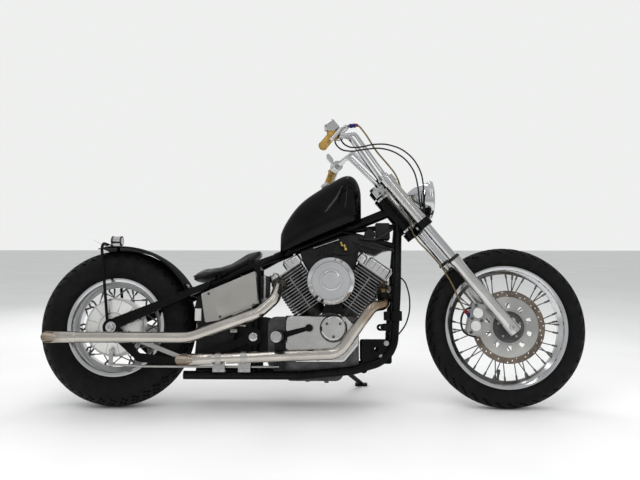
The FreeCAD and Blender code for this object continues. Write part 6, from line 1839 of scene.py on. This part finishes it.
FRAME_WEB = (((0.470, 0.200), (0.500, 0.330), (0.545, 0.352), (0.625, 0.372), (0.700, 0.352), (0.700, 0.200)),
             -0.052, -0.048, 0.0010)
LINK_BLOCK = ((0.486, -0.100, 0.306), (0.516, -0.086, 0.322), 0.004)
LINK_RODS = (
    ((0.455, -0.092, 0.3385), (0.545, -0.092, 0.3340), 0.0036),
    ((0.501, -0.052, 0.314), (0.501, -0.100, 0.314), 0.005),
    ((0.545, -0.050, 0.334), (0.545, -0.096, 0.334), 0.005),
)
PIVOT_WASHER = ([(0.0175, 0), (0.0175, 0.0020), (0.0160, 0.0030)], 32, (0.585, -0.124, 0.289), RIGHT)
PIVOT_BOLT = (0.585, -0.127, 0.289)
PIVOT_BOLT_RADIUS = 0.0100


def downtube_x(z):
    """Middle of a downtube at a height, between its knee and its lower corner."""
    (low_x, low_z), (high_x, high_z) = DOWNTUBE_LOW, DOWNTUBE_HIGH
    return low_x + (z - low_z) * (high_x - low_x) / (high_z - low_z)


def each(build, rows):
    return [build(*row) for row in rows]


def electrics_rib(x):
    """An upright rib on the electrics box, taller the further forward it is."""
    return block((x, -0.0455, 0.628), (x + 0.006, -0.0400, 0.664 + (x - 0.83) * 0.35), 0.0012)


class CHOPPER_OT_frame(bpy.types.Operator):
    """What is fastened to the frame: ties, clamp, braces, webs, electrics, fuel tap, intake and linkage"""
    bl_idname = "chopper.frame"
    bl_label = "Frame trim"

    def execute(self, context):
        ties = [collar(*TIE, (downtube_x(z), DOWNTUBE_Y, z), UP, 24, 0.0004) for z in TIE_HEIGHTS]
        on_frame(ties, "cable_ties", "cable_black")
        band = collar(*CLAMP_BAND, (downtube_x(CLAMP_MID), -DOWNTUBE_Y, CLAMP_LOW), UP, 40, 0.002)
        on_frame([band, block(*CLAMP_BLOCK)], "downtube_clamp", "frame_black")
        heads = bolts(facing(RIGHT, GUSSET_BOLTS), GUSSET_BOLT_RADIUS)
        on_frame(both_sides(gathered(heads)), "gusset_bolts", "satin_alloy")
        box = [plate(*ELECTRICS), block(*RELAY), turned(*HORN), *map(electrics_rib, ELECTRICS_RIBS)]
        on_frame(box, "electrics_box", "battery_black")
        on_frame(both_sides(rod(*BRACE)), "frame_braces", "frame_black")
        on_frame(each(tube, LOOM), "wiring_loom", "cable_black")
        on_frame(each(rod, ELECTRICS_RODS), "electrics_rod", "chrome")
        on_frame(each(turned, TAP_BODIES) + each(rod, TAP_RODS), "fuel_tap", "brass")
        on_frame([plate(*INTAKE_DECK), *each(rod, INTAKE_PIPES)], "intake_pipes", "cable_black")
        on_frame([*both_sides(plate(*MUD_PANEL)), block(*MUD_WALL)], "mud_panels", "battery_black")
        on_frame(block(*BLANK_PATCH), "blank_patch", "plate_pale")
        coil = [block(*COIL)]
        coil += [block_at(COIL_FIN_STEP * index, COIL_FIN, 0.0012, 2) for index in range(COIL_FINS)]
        on_frame(coil, "ignition_coil", "cable_black")
        on_frame(block(*COIL_STRAP), "coil_strap", "satin_alloy")
        on_frame(both_sides(plate(*FRAME_WEB)), "frame_webs", "battery_black")
        on_frame([block(*LINK_BLOCK), *each(rod, LINK_RODS)], "rear_linkage", "satin_alloy")
        pivot = [turned(*PIVOT_WASHER), *bolts(facing(RIGHT, [PIVOT_BOLT]), PIVOT_BOLT_RADIUS, False)]
        on_frame(both_sides(gathered(pivot)), "pivot_bolts", "chrome")
        return {"FINISHED"}


CAP_TILT = math.radians(-28)
CAP_SUNK = 0.0100
CAP_RINGS = [(0.0150, 0.0), (0.0200, 0.0050), (0.0200, 0.0070), (0.0176, 0.0085), (0.0176, 0.0160),
             (0.0160, 0.0185), (0.0100, 0.0200), (0, 0.0204)]
CAP_RIDGE = ((0.0168, -0.0014, 0.0085), (0.0190, 0.0014, 0.0160), 0.0005, 1)
CAP_RIDGES = 18


class CHOPPER_OT_cap(bpy.types.Operator):
    """The tank's knurled filler cap"""
    bl_idname = "chopper.cap"
    bl_label = "Tank cap"

    def execute(self, context):
        low, high = (Vector(corner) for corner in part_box("tank_cap"))
        way = Matrix.Rotation(CAP_TILT, 3, "Y") @ UP
        base = BIKE.inverted() @ ((low + high) / 2) - way * CAP_SUNK
        body = turned(CAP_RINGS, 48, base, way)
        knurl = placed(gathered(around(block(*CAP_RIDGE), CAP_RIDGES, "Z")), base, way)
        bpy.ops.object.transform_apply(location=True, rotation=True)
        on_frame([body, knurl], "filler_cap", "chrome", 35.0, ("tank_cap",))
        return {"FINISHED"}


class CHOPPER_PT_panel(bpy.types.Panel):
    """Builds the chopper's pieces one group at a time"""
    bl_idname = "CHOPPER_PT_panel"
    bl_label = "Chopper"
    bl_space_type = "VIEW_3D"
    bl_region_type = "UI"
    bl_category = "Chopper"

    def draw(self, context):
        for group in (sizes(), colours()):
            for key in group.bl_rna.properties.keys():
                if key not in {"rna_type", "name"}:
                    self.layout.prop(group, key)
        for operator in OPERATORS:
            self.layout.operator(operator.bl_idname)


OPERATORS = (CHOPPER_OT_stage, CHOPPER_OT_finishes, CHOPPER_OT_tyres, CHOPPER_OT_wheels,
             CHOPPER_OT_brake, CHOPPER_OT_fork, CHOPPER_OT_headlamp, CHOPPER_OT_controls,
             CHOPPER_OT_lines, CHOPPER_OT_heads, CHOPPER_OT_cleaner, CHOPPER_OT_covers,
             CHOPPER_OT_exhaust, CHOPPER_OT_seat, CHOPPER_OT_boxes, CHOPPER_OT_rear,
             CHOPPER_OT_axle, CHOPPER_OT_feet, CHOPPER_OT_frame, CHOPPER_OT_cap)
CLASSES = (ChopperSizes, ChopperColours, *OPERATORS, CHOPPER_PT_panel)


def register():
    for one in CLASSES:
        bpy.utils.register_class(one)
    bpy.types.Scene.chopper_sizes = bpy.props.PointerProperty(type=ChopperSizes)
    bpy.types.Scene.chopper_colours = bpy.props.PointerProperty(type=ChopperColours)


def unregister():
    del bpy.types.Scene.chopper_colours
    del bpy.types.Scene.chopper_sizes
    for one in reversed(CLASSES):
        bpy.utils.unregister_class(one)


def main():
    register()
    for operator in OPERATORS:
        group, name = operator.bl_idname.split(".")
        getattr(getattr(bpy.ops, group), name)()
    clear()
    bpy.context.view_layer.update()


if __name__ == "__main__":
    main()
